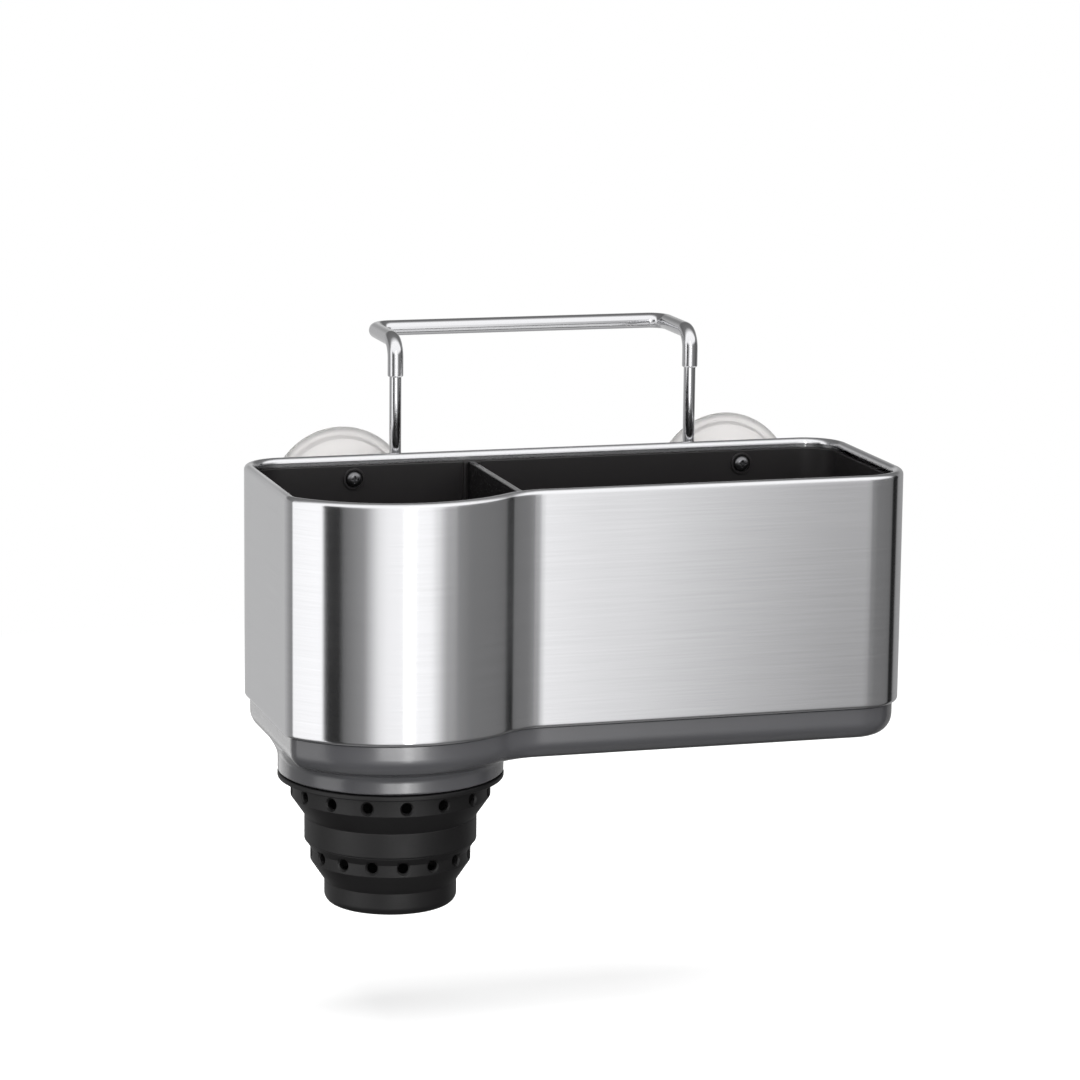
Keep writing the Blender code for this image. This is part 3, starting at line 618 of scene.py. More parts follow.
# %% Liner
def make_liner():
    start = Vector((LEFT + LINER_INSET, EDGE_CENTRE.y, LINER_LOW.z))
    liner = begin_line("liner_moulded", start)
    draw(z=LINER_HIGH.z - LINER_LOW.z)
    carry_round_body(4)
    thicken(liner, LINER_WALL)
    soften(liner, 0.4 * MM, segments=2, angle=50)
    combine(liner, make_liner_floor(start), "UNION")
    add_ribs(liner)
    add_screw_seats(liner)
    hand_over(liner, black_abs, "caddy", "liner", angle=40)


make_liner()

# %% [markdown]
# ## Divider
#
# A plate of black plastic slides down between ribs on the liner's walls and parts the sponge
# from the brush. It comes from a polished mould, so its flat top mirrors the light behind the
# organizer and shows as a pale strip. It starts as a cube at the CAD node's box.

# %% Divider
divider = add_box("divider_plate", DIVIDER_LOW, DIVIDER_HIGH)
soften(divider, 0.3 * MM)
hand_over(divider, gloss_abs, "caddy", "divider")

# %% [markdown]
# ## Tray
#
# The tray closes the body below. Its wall stands just inside the sleeve's lower edge and turns
# under in a wide round. A short boss below the brush pocket carries the cup. The wall's line is
# carried round and its last loop filled, which makes the floor. The boss is a line spun about
# the cup's axis. A concave ring rounds the corner between the two, and a bore opens the boss.

# %% Tray sizes
COLLAR_LOW, COLLAR_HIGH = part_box("cup_collar")
CUP_AXIS = (COLLAR_LOW + COLLAR_HIGH) / 2
CUP_AXIS.z = 0
TRAY_INSET = TRAY_LOW.x - LEFT
TRAY_WALL = 2 * MM
TRAY_EDGE = 7 * MM
TRAY_TOP = BOTTOM - FIT
BOSS_HEIGHT = 7.3 * MM
TRAY_FLOOR_BELOW = TRAY_LOW.z + BOSS_HEIGHT
BOSS_RADIUS = 37.9 * MM
BOSS_WALL = 3 * MM
BOSS_EDGE = 0.8 * MM
BOSS_INSIDE = 1.2 * MM
BOSS_FILLET = 3.4 * MM
FILLET_ROOT = 1 * MM
SIDE_MARGIN = 1.2 * MM
UPSTAND_INSET = LINER_INNER + FIT
UPSTAND_WALL = 1.4 * MM
ROUND_STEPS = 96


# %% Moves about the cup's axis
def at_cup(radius, height):
    return CUP_AXIS + Vector((radius, 0, height))


def spin_full(piece, axis_point, axis="Z", steps=ROUND_STEPS):
    bpy.ops.mesh.select_all(action="SELECT")
    bend(axis_point, 360, axis, steps)
    close_surface()
    use_only(piece)


def draw_through(points):
    """Extrude from the current point through the given ones."""
    for before, here in zip(points, points[1:]):
        draw(*(here - before))


# %% Boss and upstand
def make_boss_fillet():
    """A concave ring in the corner of tray and boss. Its points rise where the tray rounds up."""
    under = TRAY_FLOOR_BELOW
    fillet = begin_line("boss_fillet", at_cup(BOSS_RADIUS - BOSS_WALL / 2, under + FILLET_ROOT))
    draw(x=BOSS_WALL / 2 + BOSS_FILLET)
    draw(z=-FILLET_ROOT)
    bend(at_cup(BOSS_RADIUS + BOSS_FILLET, under - BOSS_FILLET), -90, "Y", 10)
    draw(x=-BOSS_WALL / 2)
    draw(z=FILLET_ROOT + BOSS_FILLET)
    spin_full(fillet, CUP_AXIS)
    side = LEFT + TRAY_INSET
    for point in fillet.data.vertices:
        point.co.x = max(point.co.x, side + SIDE_MARGIN)
        into_edge = TRAY_EDGE - (point.co.x - side)
        if into_edge > 0:
            point.co.z += TRAY_EDGE - math.sqrt(TRAY_EDGE**2 - into_edge**2)
    return fillet


def add_upstand(tray, start):
    """A shelf on the tray's top edge, and a low wall on it, which stands inside the liner."""
    inset = UPSTAND_INSET - TRAY_INSET
    upstand = begin_line("tray_upstand", start + Vector((inset, 0, -TRAY_WALL)))
    draw(z=TRAY_HIGH.z - TRAY_TOP + TRAY_WALL)
    carry_round_body(3)
    thicken(upstand, UPSTAND_WALL)
    shelf = begin_line("tray_shelf", start + Vector((TRAY_WALL / 2, 0, 0)))
    draw(x=inset)
    carry_round_body(3)
    thicken(shelf, UPSTAND_WALL)
    combine(tray, shelf, "UNION")
    combine(tray, upstand, "UNION")


def add_boss(tray):
    boss_top = TRAY_FLOOR_BELOW + TRAY_WALL + BOSS_INSIDE
    boss = begin_line("tray_boss", at_cup(0, boss_top))
    draw(x=BOSS_RADIUS)
    draw(z=TRAY_LOW.z + BOSS_EDGE - boss_top)
    bend(at_cup(BOSS_RADIUS - BOSS_EDGE, TRAY_LOW.z + BOSS_EDGE), 90, "Y", 5)
    draw(x=BOSS_EDGE - BOSS_RADIUS)
    spin_full(boss, CUP_AXIS)
    combine(tray, boss, "UNION")
    combine(tray, make_boss_fillet(), "UNION")
    below, above = at_cup(0, TRAY_LOW.z - MM), at_cup(0, boss_top + MM)
    bore = add_rod("bore", below, above, BOSS_RADIUS - BOSS_WALL, ROUND_STEPS)
    combine(tray, bore, "DIFFERENCE")


# %% Tray
def make_tray():
    start = Vector((LEFT + TRAY_INSET, EDGE_CENTRE.y, TRAY_TOP))
    turn_height = TRAY_FLOOR_BELOW + TRAY_EDGE
    tray = begin_line("tray_moulded", start)
    draw(z=turn_height - TRAY_TOP)
    bend((start.x + TRAY_EDGE, start.y, turn_height), -90, "Y", 10)
    carry_round_body(3)
    select_points(tray, lambda place: place.z < TRAY_FLOOR_BELOW + NEAR)
    bpy.ops.mesh.edge_face_add()
    close_surface()
    thicken(tray, TRAY_WALL)
    add_upstand(tray, start)
    add_boss(tray)
    hand_over(tray, grey_abs, "caddy", "base_tray", angle=40)
    return tray




tray = make_tray()

# %% [markdown]
# ## Folding cup
#
# The cup is one silicone moulding that folds flat like a travel cup: stiff rings joined by thin
# walls that roll over. Five pieces stand for it, and the ring and the base sit on bodies of their
# own. The two thin walls are left on no body, between the pieces above and below them, and their
# ends reach into the stiff rings, so no joint shows at rest. Each profile is drawn on one side of
# the axis and spun about it. The stiff rings' corners are rounded, and each thin wall gets a ring
# of drain holes.

# %% Cup profiles
NECK_LOW, NECK_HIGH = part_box("cup_upper_bellows")
RING_LOW, RING_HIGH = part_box("cup_middle_ring")
FOLD_LOW, FOLD_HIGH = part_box("cup_lower_bellows")
BASE_LOW, BASE_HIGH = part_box("cup_base")
NECK_RADIUS = (NECK_HIGH.x - NECK_LOW.x) / 2
RING_RADIUS = (RING_HIGH.x - RING_LOW.x) / 2
FOLD_RADIUS = 27 * MM
BASE_RADIUS = (BASE_HIGH.x - BASE_LOW.x) / 2
FLANGE_RADIUS = (COLLAR_HIGH.x - COLLAR_LOW.x) / 2
FLANGE_THICKNESS = 1.8 * MM
COLLAR_RADIUS = 34.6 * MM
LIP_REACH = 1.6 * MM
SKIN = 1.6 * MM
STIFF = 2.2 * MM
HIDDEN = 0.8 * MM
SEAM = 0.05 * MM
TAPER = 0.2 * MM
NECK_KNEE = 6 * MM  # below the neck's top, as are its drains
NECK_DRAINS = 3.4 * MM
FOLD_INSET = 0.8 * MM
FOLD_SHOULDER = 2.3 * MM  # below the fold's top
FOLD_KNEE = 4 * MM  # below the shoulder
DRAIN_RADIUS = 1.8 * MM
DRAIN_COUNT = 16
DRAIN_PHASE = math.radians(-95.2)
DRAIN_FLARE = 0.6 * MM


def spin_profile(name, profile, rounding=0.0):
    """Spin a closed profile of (radius, height) about the cup's axis."""
    points = [at_cup(radius, height) for radius, height in profile]
    piece = begin_line(name, points[0])
    draw_through(points + points[:1])
    spin_full(piece, CUP_AXIS)
    if rounding:
        soften(piece, rounding, 4, 12)
    return piece


def drill_drains(piece, radius, height):
    """One cutter with a flared mouth, copied round the axis, drills the whole ring of holes."""
    inside, mouth, outside = radius - 2 * SKIN, radius - DRAIN_FLARE, radius + DRAIN_FLARE
    points = [
        at_cup(reach, height + rise) for reach, rise in (
            (inside, 0), (inside, DRAIN_RADIUS), (mouth, DRAIN_RADIUS),
            (outside, DRAIN_RADIUS + 2 * DRAIN_FLARE), (outside, 0),
        )
    ]
    cutters = begin_line("drain_cutters", points[0])
    draw_through(points)
    bpy.ops.mesh.select_all(action="SELECT")
    bend(at_cup(0, height), 360, "X", 24)
    close_surface()
    bpy.ops.transform.rotate(value=-DRAIN_PHASE, orient_axis="Z", center_override=CUP_AXIS)
    steps = DRAIN_COUNT - 1
    turn = math.radians(360 * steps / DRAIN_COUNT)
    bpy.ops.mesh.spin(steps=steps, dupli=True, angle=turn, center=CUP_AXIS, axis=AXES["Z"])
    use_only(cutters)
    combine(piece, cutters, "DIFFERENCE")


# %% Cup
def make_collar():
    inner = COLLAR_RADIUS - STIFF
    lip = COLLAR_RADIUS + LIP_REACH
    flange_top = COLLAR_LOW.z + FLANGE_THICKNESS
    lip_bottom = COLLAR_HIGH.z - SKIN
    profile = [
        (inner, COLLAR_HIGH.z), (lip, COLLAR_HIGH.z), (lip, lip_bottom),
        (COLLAR_RADIUS, lip_bottom), (COLLAR_RADIUS, flange_top), (FLANGE_RADIUS, flange_top),
        (FLANGE_RADIUS, COLLAR_LOW.z), (inner, COLLAR_LOW.z),
    ]
    collar = spin_profile("cup_collar_skin", profile, 0.5 * MM)
    hand_over(collar, silicone, "caddy", "cup_collar")
    return collar


def make_neck():
    knee = NECK_HIGH.z - NECK_KNEE
    top, foot = COLLAR_LOW.z + HIDDEN, RING_HIGH.z - HIDDEN
    profile = [
        (NECK_RADIUS, top), (NECK_RADIUS, knee), (RING_RADIUS, NECK_LOW.z),
        (RING_RADIUS - TAPER, foot), (RING_RADIUS - SKIN, foot), (RING_RADIUS - SKIN, NECK_LOW.z),
        (NECK_RADIUS - SKIN, knee), (NECK_RADIUS - SKIN, top),
    ]
    neck = spin_profile("cup_neck_skin", profile)
    drill_drains(neck, NECK_RADIUS, NECK_HIGH.z - NECK_DRAINS)
    hand_over(neck, silicone, None, "cup_upper_bellows", angle=25)
    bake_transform(neck)
    return neck


def make_ring():
    inner, top = RING_RADIUS - STIFF, NECK_LOW.z - SEAM
    profile = [(RING_RADIUS, top), (RING_RADIUS, RING_LOW.z), (inner, RING_LOW.z), (inner, top)]
    ring = spin_profile("cup_ring_skin", profile, 0.7 * MM)
    hand_over(ring, silicone, "cup_ring", "cup_middle_ring")
    return ring


def make_fold():
    shoulder = RING_RADIUS - FOLD_INSET
    shoulder_height = FOLD_HIGH.z - FOLD_SHOULDER
    knee = shoulder_height - FOLD_KNEE
    top, foot = RING_LOW.z + HIDDEN, BASE_HIGH.z - HIDDEN
    profile = [
        (shoulder, top), (shoulder, FOLD_HIGH.z), (FOLD_RADIUS, shoulder_height),
        (FOLD_RADIUS, knee), (BASE_RADIUS, FOLD_LOW.z), (BASE_RADIUS - TAPER, foot),
        (BASE_RADIUS - SKIN, foot), (BASE_RADIUS - SKIN, FOLD_LOW.z),
        (FOLD_RADIUS - SKIN, knee), (FOLD_RADIUS - SKIN, shoulder_height),
        (shoulder - SKIN, FOLD_HIGH.z), (shoulder - SKIN, top),
    ]
    fold = spin_profile("cup_fold_skin", profile)
    drill_drains(fold, FOLD_RADIUS, (shoulder_height + knee) / 2 + DRAIN_RADIUS / 2)
    hand_over(fold, silicone, None, "cup_lower_bellows", angle=25)
    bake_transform(fold)
    return fold


def make_base():
    edge = 3 * MM
    inner = BASE_RADIUS - STIFF
    top = FOLD_LOW.z - SEAM
    base = begin_line("cup_base_skin", at_cup(0, BASE_LOW.z + STIFF))
    draw(x=inner)
    draw(z=top - BASE_LOW.z - STIFF)
    draw(x=STIFF)
    draw(z=BASE_LOW.z + edge - top)
    bend(at_cup(BASE_RADIUS - edge, BASE_LOW.z + edge), 90, "Y", 8)
    draw(x=edge - BASE_RADIUS)
    spin_full(base, CUP_AXIS)
    hand_over(base, silicone, "cup_foot", "cup_base")
    return base


soft_parts = [make_collar(), make_neck(), make_ring(), make_fold(), make_base()]

# %% [markdown]
# ## Hanger
#
# The hanger is a thick chrome handle with two thin rods pressed into its ends. The handle is a
# circle extruded and spun along its way: up, back, across, forward and down. The rods end in
# black caps that stop them in their guides.

# %% Handle and rods
HANDLE_LOW, HANDLE_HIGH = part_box("hanger_handle")
ROD_LOW, ROD_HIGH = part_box("hanger_rod_right")
TUBE_RADIUS = 2.7 * MM
ROD_RADIUS = (ROD_HIGH.x - ROD_LOW.x) / 2
LEG_X = (ROD_LOW.x + ROD_HIGH.x) / 2
LEG_Y = (ROD_LOW.y + ROD_HIGH.y) / 2
BAR_Y = HANDLE_HIGH.y - TUBE_RADIUS
HANDLE_Z = HANDLE_HIGH.z - TUBE_RADIUS
BEND = 6 * MM
BEND_STEPS = 14
SIDES = ((-1, "left"), (1, "right"))


def make_handle():
    add = bpy.ops.mesh.primitive_circle_add
    foot = (-LEG_X, LEG_Y, HANDLE_LOW.z)
    handle = add_shape(add, "handle_chromed", vertices=40, radius=TUBE_RADIUS, location=foot)
    bpy.ops.object.transform_apply(location=True)
    edit_all()
    rise = HANDLE_Z - BEND - HANDLE_LOW.z
    run = BAR_Y - LEG_Y - 2 * BEND
    draw(z=rise)
    bend((-LEG_X, LEG_Y + BEND, HANDLE_Z - BEND), -90, "X", BEND_STEPS)
    draw(y=run)
    bend((BEND - LEG_X, BAR_Y - BEND, HANDLE_Z), -90, "Z", BEND_STEPS)
    draw(x=2 * (LEG_X - BEND))
    bend((LEG_X - BEND, BAR_Y - BEND, HANDLE_Z), -90, "Z", BEND_STEPS)
    draw(y=-run)
    bend((LEG_X, LEG_Y + BEND, HANDLE_Z - BEND), 90, "X", BEND_STEPS)
    draw(z=-rise)
    for side in (-1, 1):
        select_points(handle, lambda p: abs(p.z - HANDLE_LOW.z) < NEAR and p.x * side > 0)
        bpy.ops.mesh.edge_face_add()
    close_surface()
    soften(handle, 0.6 * MM, segments=4, angle=60)
    hand_over(handle, chrome, "hanger", "hanger_handle")
    return handle


def add_leg_rod(name, side, low, high, radius, sides=48):
    """A rod on the axis of a leg, from one height to another."""
    x = side * LEG_X
    return add_rod(name, (x, LEG_Y, low), (x, LEG_Y, high), radius, sides)


def make_rods():
    rods = []
    for side, name in SIDES:
        rod = add_leg_rod("rod_" + name, side, ROD_LOW.z, ROD_HIGH.z, ROD_RADIUS, 40)
        soften(rod, 0.4 * MM, angle=60)
        hand_over(rod, chrome, "hanger", "hanger_rod_" + name)
        rods.append(rod)
    return rods


def make_rod_caps():
    low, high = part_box("rod_cap_right")
    radius = (high.x - low.x) / 2
    foot, step = 2.4 * MM, 0.5 * MM
    for side, name in SIDES:
        cap = add_leg_rod("cap_" + name, side, low.z, high.z, radius)
        waist = add_leg_rod("waist", side, low.z + foot, high.z + MM, radius + MM)
        core = add_leg_rod("core", side, low.z, high.z + 2 * MM, radius - step)
        combine(waist, core, "DIFFERENCE")
        combine(cap, waist, "DIFFERENCE")
        soften(cap, 0.45 * MM, angle=50)
        hand_over(cap, black_abs, "hanger", "rod_cap_" + name)


chromed = [make_handle()] + make_rods()
make_rod_caps()

# %% [markdown]
# ## Bracket, suction cups and screws
#
# A plastic plate behind the sleeve holds it all: two guides for the rods, two sockets for the
# suction cups and two bosses for the screws that come through from the liner. It is built of a
# rounded plate and joined cylinders, then bored, and its edges are softened as on a moulding.

# %% Bracket
PLATE_LOW, PLATE_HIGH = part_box("hanger_bracket")
SUCTION_LOW, SUCTION_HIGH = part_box("suction_cup_right")
SUCTION_X = (SUCTION_LOW.x + SUCTION_HIGH.x) / 2
SUCTION_RADIUS = (SUCTION_HIGH.x - SUCTION_LOW.x) / 2
PLATE_THICKNESS = 2.5 * MM
SOCKET_BACK = -7.5 * MM
SOCKET_RADIUS = 9 * MM
SOCKET_LIP = 1.5 * MM
SOCKET_BORE = 6.9 * MM
NECK_BORE = 5 * MM
PLATE_CORNER = 6 * MM
GUIDE_RADIUS = 3.9 * MM
SCREW_BOSS_RADIUS = 3.5 * MM
SCREW_BOSS_LENGTH = 5.5 * MM


def make_bracket():
    plate_back = PLATE_LOW.y + PLATE_THICKNESS
    bracket = add_box("bracket_moulded", PLATE_LOW, (PLATE_HIGH.x, plate_back, PLATE_HIGH.z))
    bpy.ops.object.mode_set(mode="EDIT")
    bpy.ops.mesh.select_all(action="DESELECT")
    bm = bmesh.from_edit_mesh(bracket.data)
    for edge in bm.edges:
        way = edge.verts[0].co - edge.verts[1].co
        edge.select_set(abs(way.y) > MM)
    bmesh.update_edit_mesh(bracket.data)
    bpy.ops.mesh.bevel(offset=PLATE_CORNER, segments=10, affect="EDGES")
    use_only(bracket)
    middle = (PLATE_LOW.y + plate_back) / 2
    screw_end = plate_back + SCREW_BOSS_LENGTH
    for side in (-1, 1):
        cup, leg = side * SUCTION_X, side * LEG_X
        for start, end, radius in (
            ((cup, middle, 0), (cup, SOCKET_BACK, 0), SOCKET_RADIUS),
            ((leg, LEG_Y, PLATE_LOW.z), (leg, LEG_Y, PLATE_HIGH.z), GUIDE_RADIUS),
            ((cup, middle, SCREW_Z), (cup, screw_end, SCREW_Z), SCREW_BOSS_RADIUS),
        ):
            combine(bracket, add_rod("boss", start, end, radius), "UNION")
    soften(bracket, 0.35 * MM, segments=2, angle=40)
    for side in (-1, 1):
        cup, leg = side * SUCTION_X, side * LEG_X
        lip = SOCKET_BACK - SOCKET_LIP
        for start, end, radius in (
            ((leg, LEG_Y, PLATE_LOW.z - MM), (leg, LEG_Y, PLATE_HIGH.z + MM), ROD_RADIUS + FIT),
            ((cup, plate_back - FIT, 0), (cup, lip, 0), SOCKET_BORE),
            ((cup, lip - FIT, 0), (cup, SOCKET_BACK + FIT, 0), NECK_BORE),
        ):
            combine(bracket, add_rod("bore", start, end, radius), "DIFFERENCE")
    hand_over(bracket, black_abs, "caddy", "hanger_bracket", angle=40)


make_bracket()

# %% Suction cups
def make_suction_cups():
    plug, neck, shoulder = 6.6 * MM, 4.7 * MM, 8 * MM
    plug_y, shoulder_y = SOCKET_BACK - SOCKET_LIP - FIT, SOCKET_BACK + FIT
    rim, hollow = 1.2 * MM, -4.2 * MM
    inner = SUCTION_RADIUS - 3 * MM
    steps = 10
    profile = [(0, SUCTION_LOW.y), (plug, SUCTION_LOW.y), (plug, plug_y), (neck, plug_y)]
    profile.append((neck, shoulder_y))
    for i in range(steps + 1):
        out = i / steps
        rise = math.sin(out * math.pi / 2)
        radius = shoulder + (SUCTION_RADIUS - shoulder) * out
        profile.append((radius, shoulder_y + (-rim - shoulder_y) * rise))
    profile += [(SUCTION_RADIUS, 0), (inner, 0)]
    for i in range(1, steps + 1):
        turn = i / steps * math.pi / 2
        profile.append((inner * math.cos(turn), hollow * math.sin(turn) ** 0.8))
    for side, name in SIDES:
        centre = Vector((side * SUCTION_X, 0, 0))
        points = [centre + Vector((radius, y, 0)) for radius, y in profile]
        cup = begin_line("suction_disc_" + name, points[0])
        draw_through(points)
        spin_full(cup, centre, "Y")
        hand_over(cup, vinyl, "caddy", "suction_cup_" + name, angle=40)


make_suction_cups()

# %% [markdown]
# ### Screws
#
# Each screw is a black pan head with a cross recess. The head is spun from half its outline, and
# two thin boxes cut the cross.

# %% Screws
def make_screws():
    head_radius = (SCREW_HIGH.x - SCREW_LOW.x) / 2
    head_height = 1.8 * MM
    shank = 1.4 * MM
    cross_width, cross_length = 0.7 * MM, 2.8 * MM
    seat = SCREW_LOW.y + head_height
    for side, name in SIDES:
        centre = Vector((side * SCREW_X, 0, SCREW_Z))
        screw = begin_line("screw_pan_" + name, centre + Vector((0, SCREW_LOW.y, 0)))
        draw(x=head_radius - head_height)
        bend(centre + Vector((head_radius - head_height, seat, 0)), 90, "Z", 8)
        draw(x=shank - head_radius)
        draw(y=SCREW_HIGH.y - seat)
        draw(x=-shank)
        spin_full(screw, centre, "Y", 48)
        for width, height in ((cross_width, cross_length), (cross_length, cross_width)):
            reach = Vector((width / 2, 0, height / 2))
            low = centre - reach + Vector((0, SCREW_LOW.y - MM, 0))
            high = centre + reach + Vector((0, SCREW_LOW.y + MM, 0))
            combine(screw, add_box("recess", low, high), "DIFFERENCE")
        hand_over(screw, blackened, "caddy", "screw_" + name)


make_screws()

# %% [markdown]
# ## Camera
#
# The reference picture was taken with a long lens from the front left, a little above. The
# camera's place and turn were worked out from the object's straight edges. The lens follows
# from the focal length in pixels over a frame of 1080 pixels.

# %% Camera
SENSOR_WIDTH = 36
FRAME_PIXELS = 1080
FOCAL_PIXELS = 4034.4
CAMERA_PLACE = Vector((-398.24, -1338.06, 249.28)) * MM
LOOK_RIGHT = math.radians(16.671)
LOOK_DOWN = math.radians(10.837)
ROLL = math.radians(0.607)


def place_camera():
    data = bpy.data.cameras.new("camera")
    data.sensor_width = SENSOR_WIDTH
    data.lens = FOCAL_PIXELS / FRAME_PIXELS * SENSOR_WIDTH
    data.clip_start = 0.05
    camera = bpy.data.objects.new("camera", data)
    bpy.context.scene.collection.objects.link(camera)
    turn = Matrix.Rotation(-LOOK_RIGHT, 3, "Z") @ Matrix.Rotation(math.pi / 2 - LOOK_DOWN, 3, "X")
    camera.rotation_euler = (turn @ Matrix.Rotation(ROLL, 3, "Z")).to_euler()
    camera.location = CAMERA_PLACE
    bpy.context.scene.camera = camera
    print(f"lens {data.lens:.1f} mm")


place_camera()

# %% [markdown]
# ## Studio
#
# Polished and brushed metal shows what stands round it more than what lights it. The set is a
# square light tent: its walls have bright and dark stretches that the sleeve mirrors as tall
# bands, its roof is bright and whitens the rolled edges, and it is dark below the table's height.
# A narrow strip in front gives the sharp lights on the plastics. Like a photographer's small
# reflectors, a few panels light the sleeve, the tray, the cup or the chrome alone. The camera
# sees only white, and the object's soft shadow on the floor.

# %% Light tent
TENT_LOW = (-1.1, -0.8, -1.3)
TENT_HIGH = (1.1, 0.9, 1.3)
TENT_MIDDLE = Vector((0, -0.06, -0.02))
TENT_PEAK = 1.6
WHITE = (1, 1, 1, 1)

# Bearing in degrees from straight in front (right is positive), and the wall's brightness there
TENT_WALLS = [
    (-180, 0.66), (-165, 0.62), (-140, 0.6), (-110, 0.4), (-98, 0.38), (-92, 1.5), (-66, 1.6),
    (-64.5, 0.02), (-53, 0.02), (-50, 0.2), (-36, 0.4), (-26, 1.22), (-20, 1.42), (4, 1.55),
    (12, 1.5), (16, 1.22), (19, 0.92), (22, 0.69), (25.5, 0.46), (30, 0.44), (35, 0.35),
    (48, 0.25), (72, 0.23), (84, 0.21), (87, 0.02), (101, 0.02), (104, 0.3), (112, 0.4),
    (150, 0.42), (165, 0.66),
]
# Height in degrees above the level, and the share of the walls' brightness that shows there
TENT_SHARE = [(-45, 0), (-26, 1), (15, 1), (25, 0)]
# Height in degrees, and the brightness there of what has no bands: the table and the dark
TENT_TABLE = [(-68, 0.3), (-60, 0.1), (-45, 0.1), (-26, 0)]
# Height in degrees, and the share of the roof's brightness that shows there
TENT_RISE = [(15, 0), (25, 1)]
# Degrees from straight in front over the top to the back, and the roof's brightness there
TENT_ROOF = [(20, 1.5), (76, 1.6), (90, 0.85), (104, 0.28), (150, 0.2), (180, 0.35)]


def begin_glow(thing, name):
    """Give a thing a material without shaders, and return its tree and output."""
    material = bpy.data.materials.new(name)
    thing.data.materials.append(material)
    material.use_nodes = True
    tree = material.node_tree
    tree.nodes.clear()
    output = add_node(tree, "ShaderNodeOutputMaterial")
    return tree, output


def level_over(tree, angle, span, levels):
    """Brightness along an angle in radians, which runs from -span to span degrees."""
    share = spread(tree, angle, 0, 1, -math.radians(span), math.radians(span))
    ramp = add_node(tree, "ShaderNodeValToRGB", {"Fac": share})
    stops = ramp.color_ramp.elements
    stops.remove(stops[1])
    for i, (degrees, level) in enumerate(levels):
        position = (degrees + span) / (2 * span)
        stop = stops.new(position) if i else stops[0]
        stop.position = position
        grey = level / TENT_PEAK
        stop.color = (grey, grey, grey, 1)
    return compute(tree, "MULTIPLY", ramp.outputs["Color"], TENT_PEAK)


def hide_from_view(thing):
    """Hide a light from the camera and from rays through clear pieces, and let it cast nothing."""
    thing.visible_camera = False
    thing.visible_transmission = False
    thing.visible_shadow = False


def raise_tent():
    tent = add_box("light_tent", TENT_LOW, TENT_HIGH)
    tree, output = begin_glow(tent, "light_tent_walls")
    place = add_node(tree, "ShaderNodeTexCoord").outputs["Object"]
    way = add_node(tree, "ShaderNodeVectorMath", {0: place}, operation="SUBTRACT")
    way.inputs[1].default_value = TENT_MIDDLE
    parts = add_node(tree, "ShaderNodeSeparateXYZ", {"Vector": way.outputs[0]})
    x, z = parts.outputs["X"], parts.outputs["Z"]
    front = compute(tree, "MULTIPLY", parts.outputs["Y"], -1)
    ground = add_node(tree, "ShaderNodeCombineXYZ", {"X": x, "Y": front})
    bearing = compute(tree, "ARCTAN2", x, front)
    height = compute(tree, "ARCTAN2", z, distance(tree, ground.outputs[0]))
    over = compute(tree, "ARCTAN2", z, front)
    walls = level_over(tree, bearing, 180, TENT_WALLS)
    share = level_over(tree, height, 90, TENT_SHARE)
    table = level_over(tree, height, 90, TENT_TABLE)
    rise = level_over(tree, height, 90, TENT_RISE)
    roof = level_over(tree, over, 180, TENT_ROOF)
    shown = compute(tree, "MULTIPLY", walls, share)
    above = compute(tree, "MULTIPLY", roof, rise)
    total = compute(tree, "ADD", compute(tree, "ADD", shown, above), table)
    glow = add_node(tree, "ShaderNodeEmission", {"Strength": total}, Color=WHITE)
    tree.links.new(glow.outputs[0], output.inputs["Surface"])
    hide_from_view(tent)


def light_only(light, pieces):
    lit = bpy.data.collections.new("lit_by_" + light.name)
    for piece in pieces:
        lit.objects.link(piece)
    light.light_linking.receiver_collection = lit


def hang_panel(name, place, aim, size, level, pieces):
    """A glowing rectangle of width and height, which faces the aim and hides nothing behind it."""
    panel = add_shape(bpy.ops.mesh.primitive_plane_add, name, size=1)
    panel.scale = (*size, 1)
    panel.location = place
    panel.rotation_euler = (Vector(aim) - Vector(place)).to_track_quat("-Z", "Y").to_euler()
    bpy.ops.object.transform_apply()
    tree, output = begin_glow(panel, name + "_glow")
    glow = add_node(tree, "ShaderNodeEmission", Color=WHITE, Strength=level)
    clear = add_node(tree, "ShaderNodeBsdfTransparent")
    both = add_node(tree, "ShaderNodeAddShader", {0: glow.outputs[0], 1: clear.outputs[0]})
    tree.links.new(both.outputs[0], output.inputs["Surface"])
    hide_from_view(panel)
    if pieces:
        light_only(panel, pieces)


# Name, place, the point it faces, width and height, brightness, and what it lights if not all
PANELS = [
    ("key_strip", (-0.054, -0.79, 0), (-0.054, 0, 0), (0.07, 0.9), 5, None),
    ("sleeve_sheen", (0.35, -0.785, 0.06), (0.35, 0, 0.06), (0.26, 0.42), 0.24, [sleeve]),
    ("tray_front_light", (-0.13, -0.785, -0.085), (-0.13, 0, -0.085), (0.47, 0.42), 4.3, [tray]),
    ("tray_side_light", (-0.4, 0.85, -0.2), (-0.1, 0, -0.05), (0.7, 0.5), 0.9, [tray]),
    ("cup_side_light", (-0.66, -0.44, -0.1), (-0.07, -0.06, -0.1), (0.35, 0.6), 1.5, soft_parts),
    ("chrome_table", (-0.05, -0.1, -0.5), (-0.05, -0.1, 0), (1.6, 1.4), 0.38, chromed),
    ("chrome_card", (0.02, -0.03, TOP + MM), (0.02, -0.03, 0.1), (0.2, 0.06), 0.95, chromed[:1]),
]
raise_tent()
for panel in PANELS:
    hang_panel(*panel)
print("tent:", len(TENT_WALLS), "levels round it, panels:", len(PANELS))

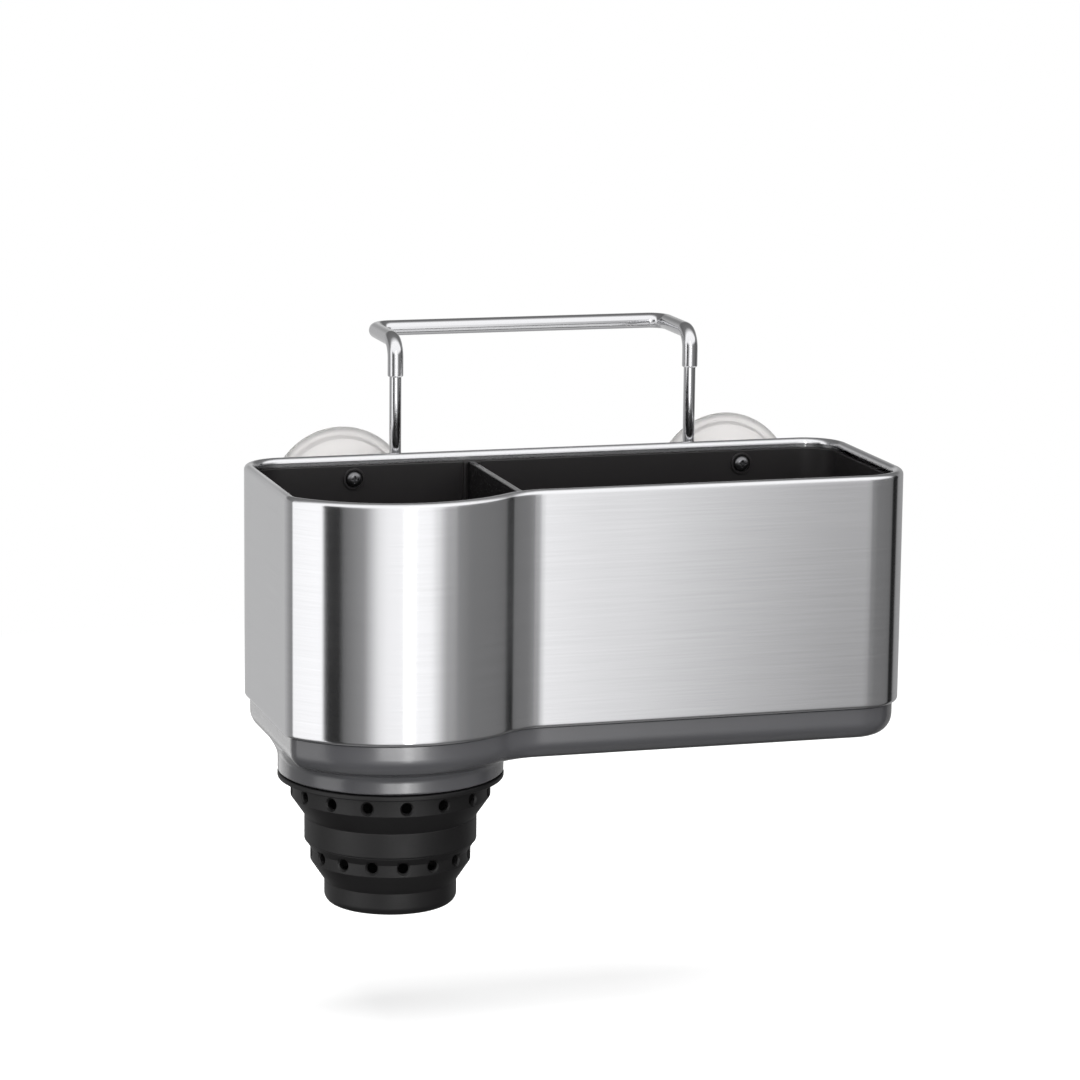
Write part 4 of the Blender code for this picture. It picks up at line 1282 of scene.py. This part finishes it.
# %% World and floor
FLOOR_Z = -159.5 * MM
FLOOR_SHARE = 0.28
FLOOR_REACH = (0.25, 0.6)
FLOOR_MIDDLE = (-0.04, -0.06)
FLOOR_SIZE = 8
FLOOR_PAINT = (0.5, 0.5, 0.5, 1)


def light_world():
    """White to the camera and through clear pieces. The tent hides it from all else."""
    world = bpy.data.worlds.new("white_room")
    bpy.context.scene.world = world
    world.use_nodes = True
    tree = world.node_tree
    tree.nodes.clear()
    output = add_node(tree, "ShaderNodeOutputWorld")
    background = add_node(tree, "ShaderNodeBackground", Color=WHITE, Strength=1.0)
    tree.links.new(background.outputs[0], output.inputs["Surface"])


def lay_floor():
    """A white floor that keeps a share of its shading near the object, and none further off."""
    middle = (*FLOOR_MIDDLE, FLOOR_Z)
    floor = add_shape(bpy.ops.mesh.primitive_plane_add, "floor", size=FLOOR_SIZE, location=middle)
    tree, output = begin_glow(floor, "floor_white")
    path = add_node(tree, "ShaderNodeLightPath")
    place = add_node(tree, "ShaderNodeTexCoord").outputs["Object"]
    shading = spread(tree, distance(tree, place), FLOOR_SHARE, 0, *FLOOR_REACH)
    plain = compute(tree, "SUBTRACT", 1, shading)
    share = compute(tree, "MULTIPLY", path.outputs["Is Camera Ray"], plain)
    paint = add_node(tree, "ShaderNodeBsdfDiffuse", Color=FLOOR_PAINT)
    glow = add_node(tree, "ShaderNodeEmission", Color=WHITE, Strength=1.0)
    shaders = {"Fac": share, 1: paint.outputs[0], 2: glow.outputs[0]}
    mix = add_node(tree, "ShaderNodeMixShader", shaders)
    tree.links.new(mix.outputs[0], output.inputs["Surface"])
    floor.visible_glossy = False
    floor.visible_diffuse = False
    return floor


def hang_floor_lamp(floor, place, size, power):
    """A long soft lamp above, which lights the floor alone, for the shadow."""
    data = bpy.data.lights.new("floor_lamp", "AREA")
    data.shape = "RECTANGLE"
    data.size, data.size_y = size
    data.energy = power
    lamp = bpy.data.objects.new("floor_lamp", data)
    bpy.context.scene.collection.objects.link(lamp)
    lamp.location = place
    light_only(lamp, [floor])


light_world()
floor = lay_floor()
hang_floor_lamp(floor, place=(0.4, 0.22, 1.2), size=(2.0, 1.5), power=175)
bpy.context.scene.view_settings.view_transform = "Standard"
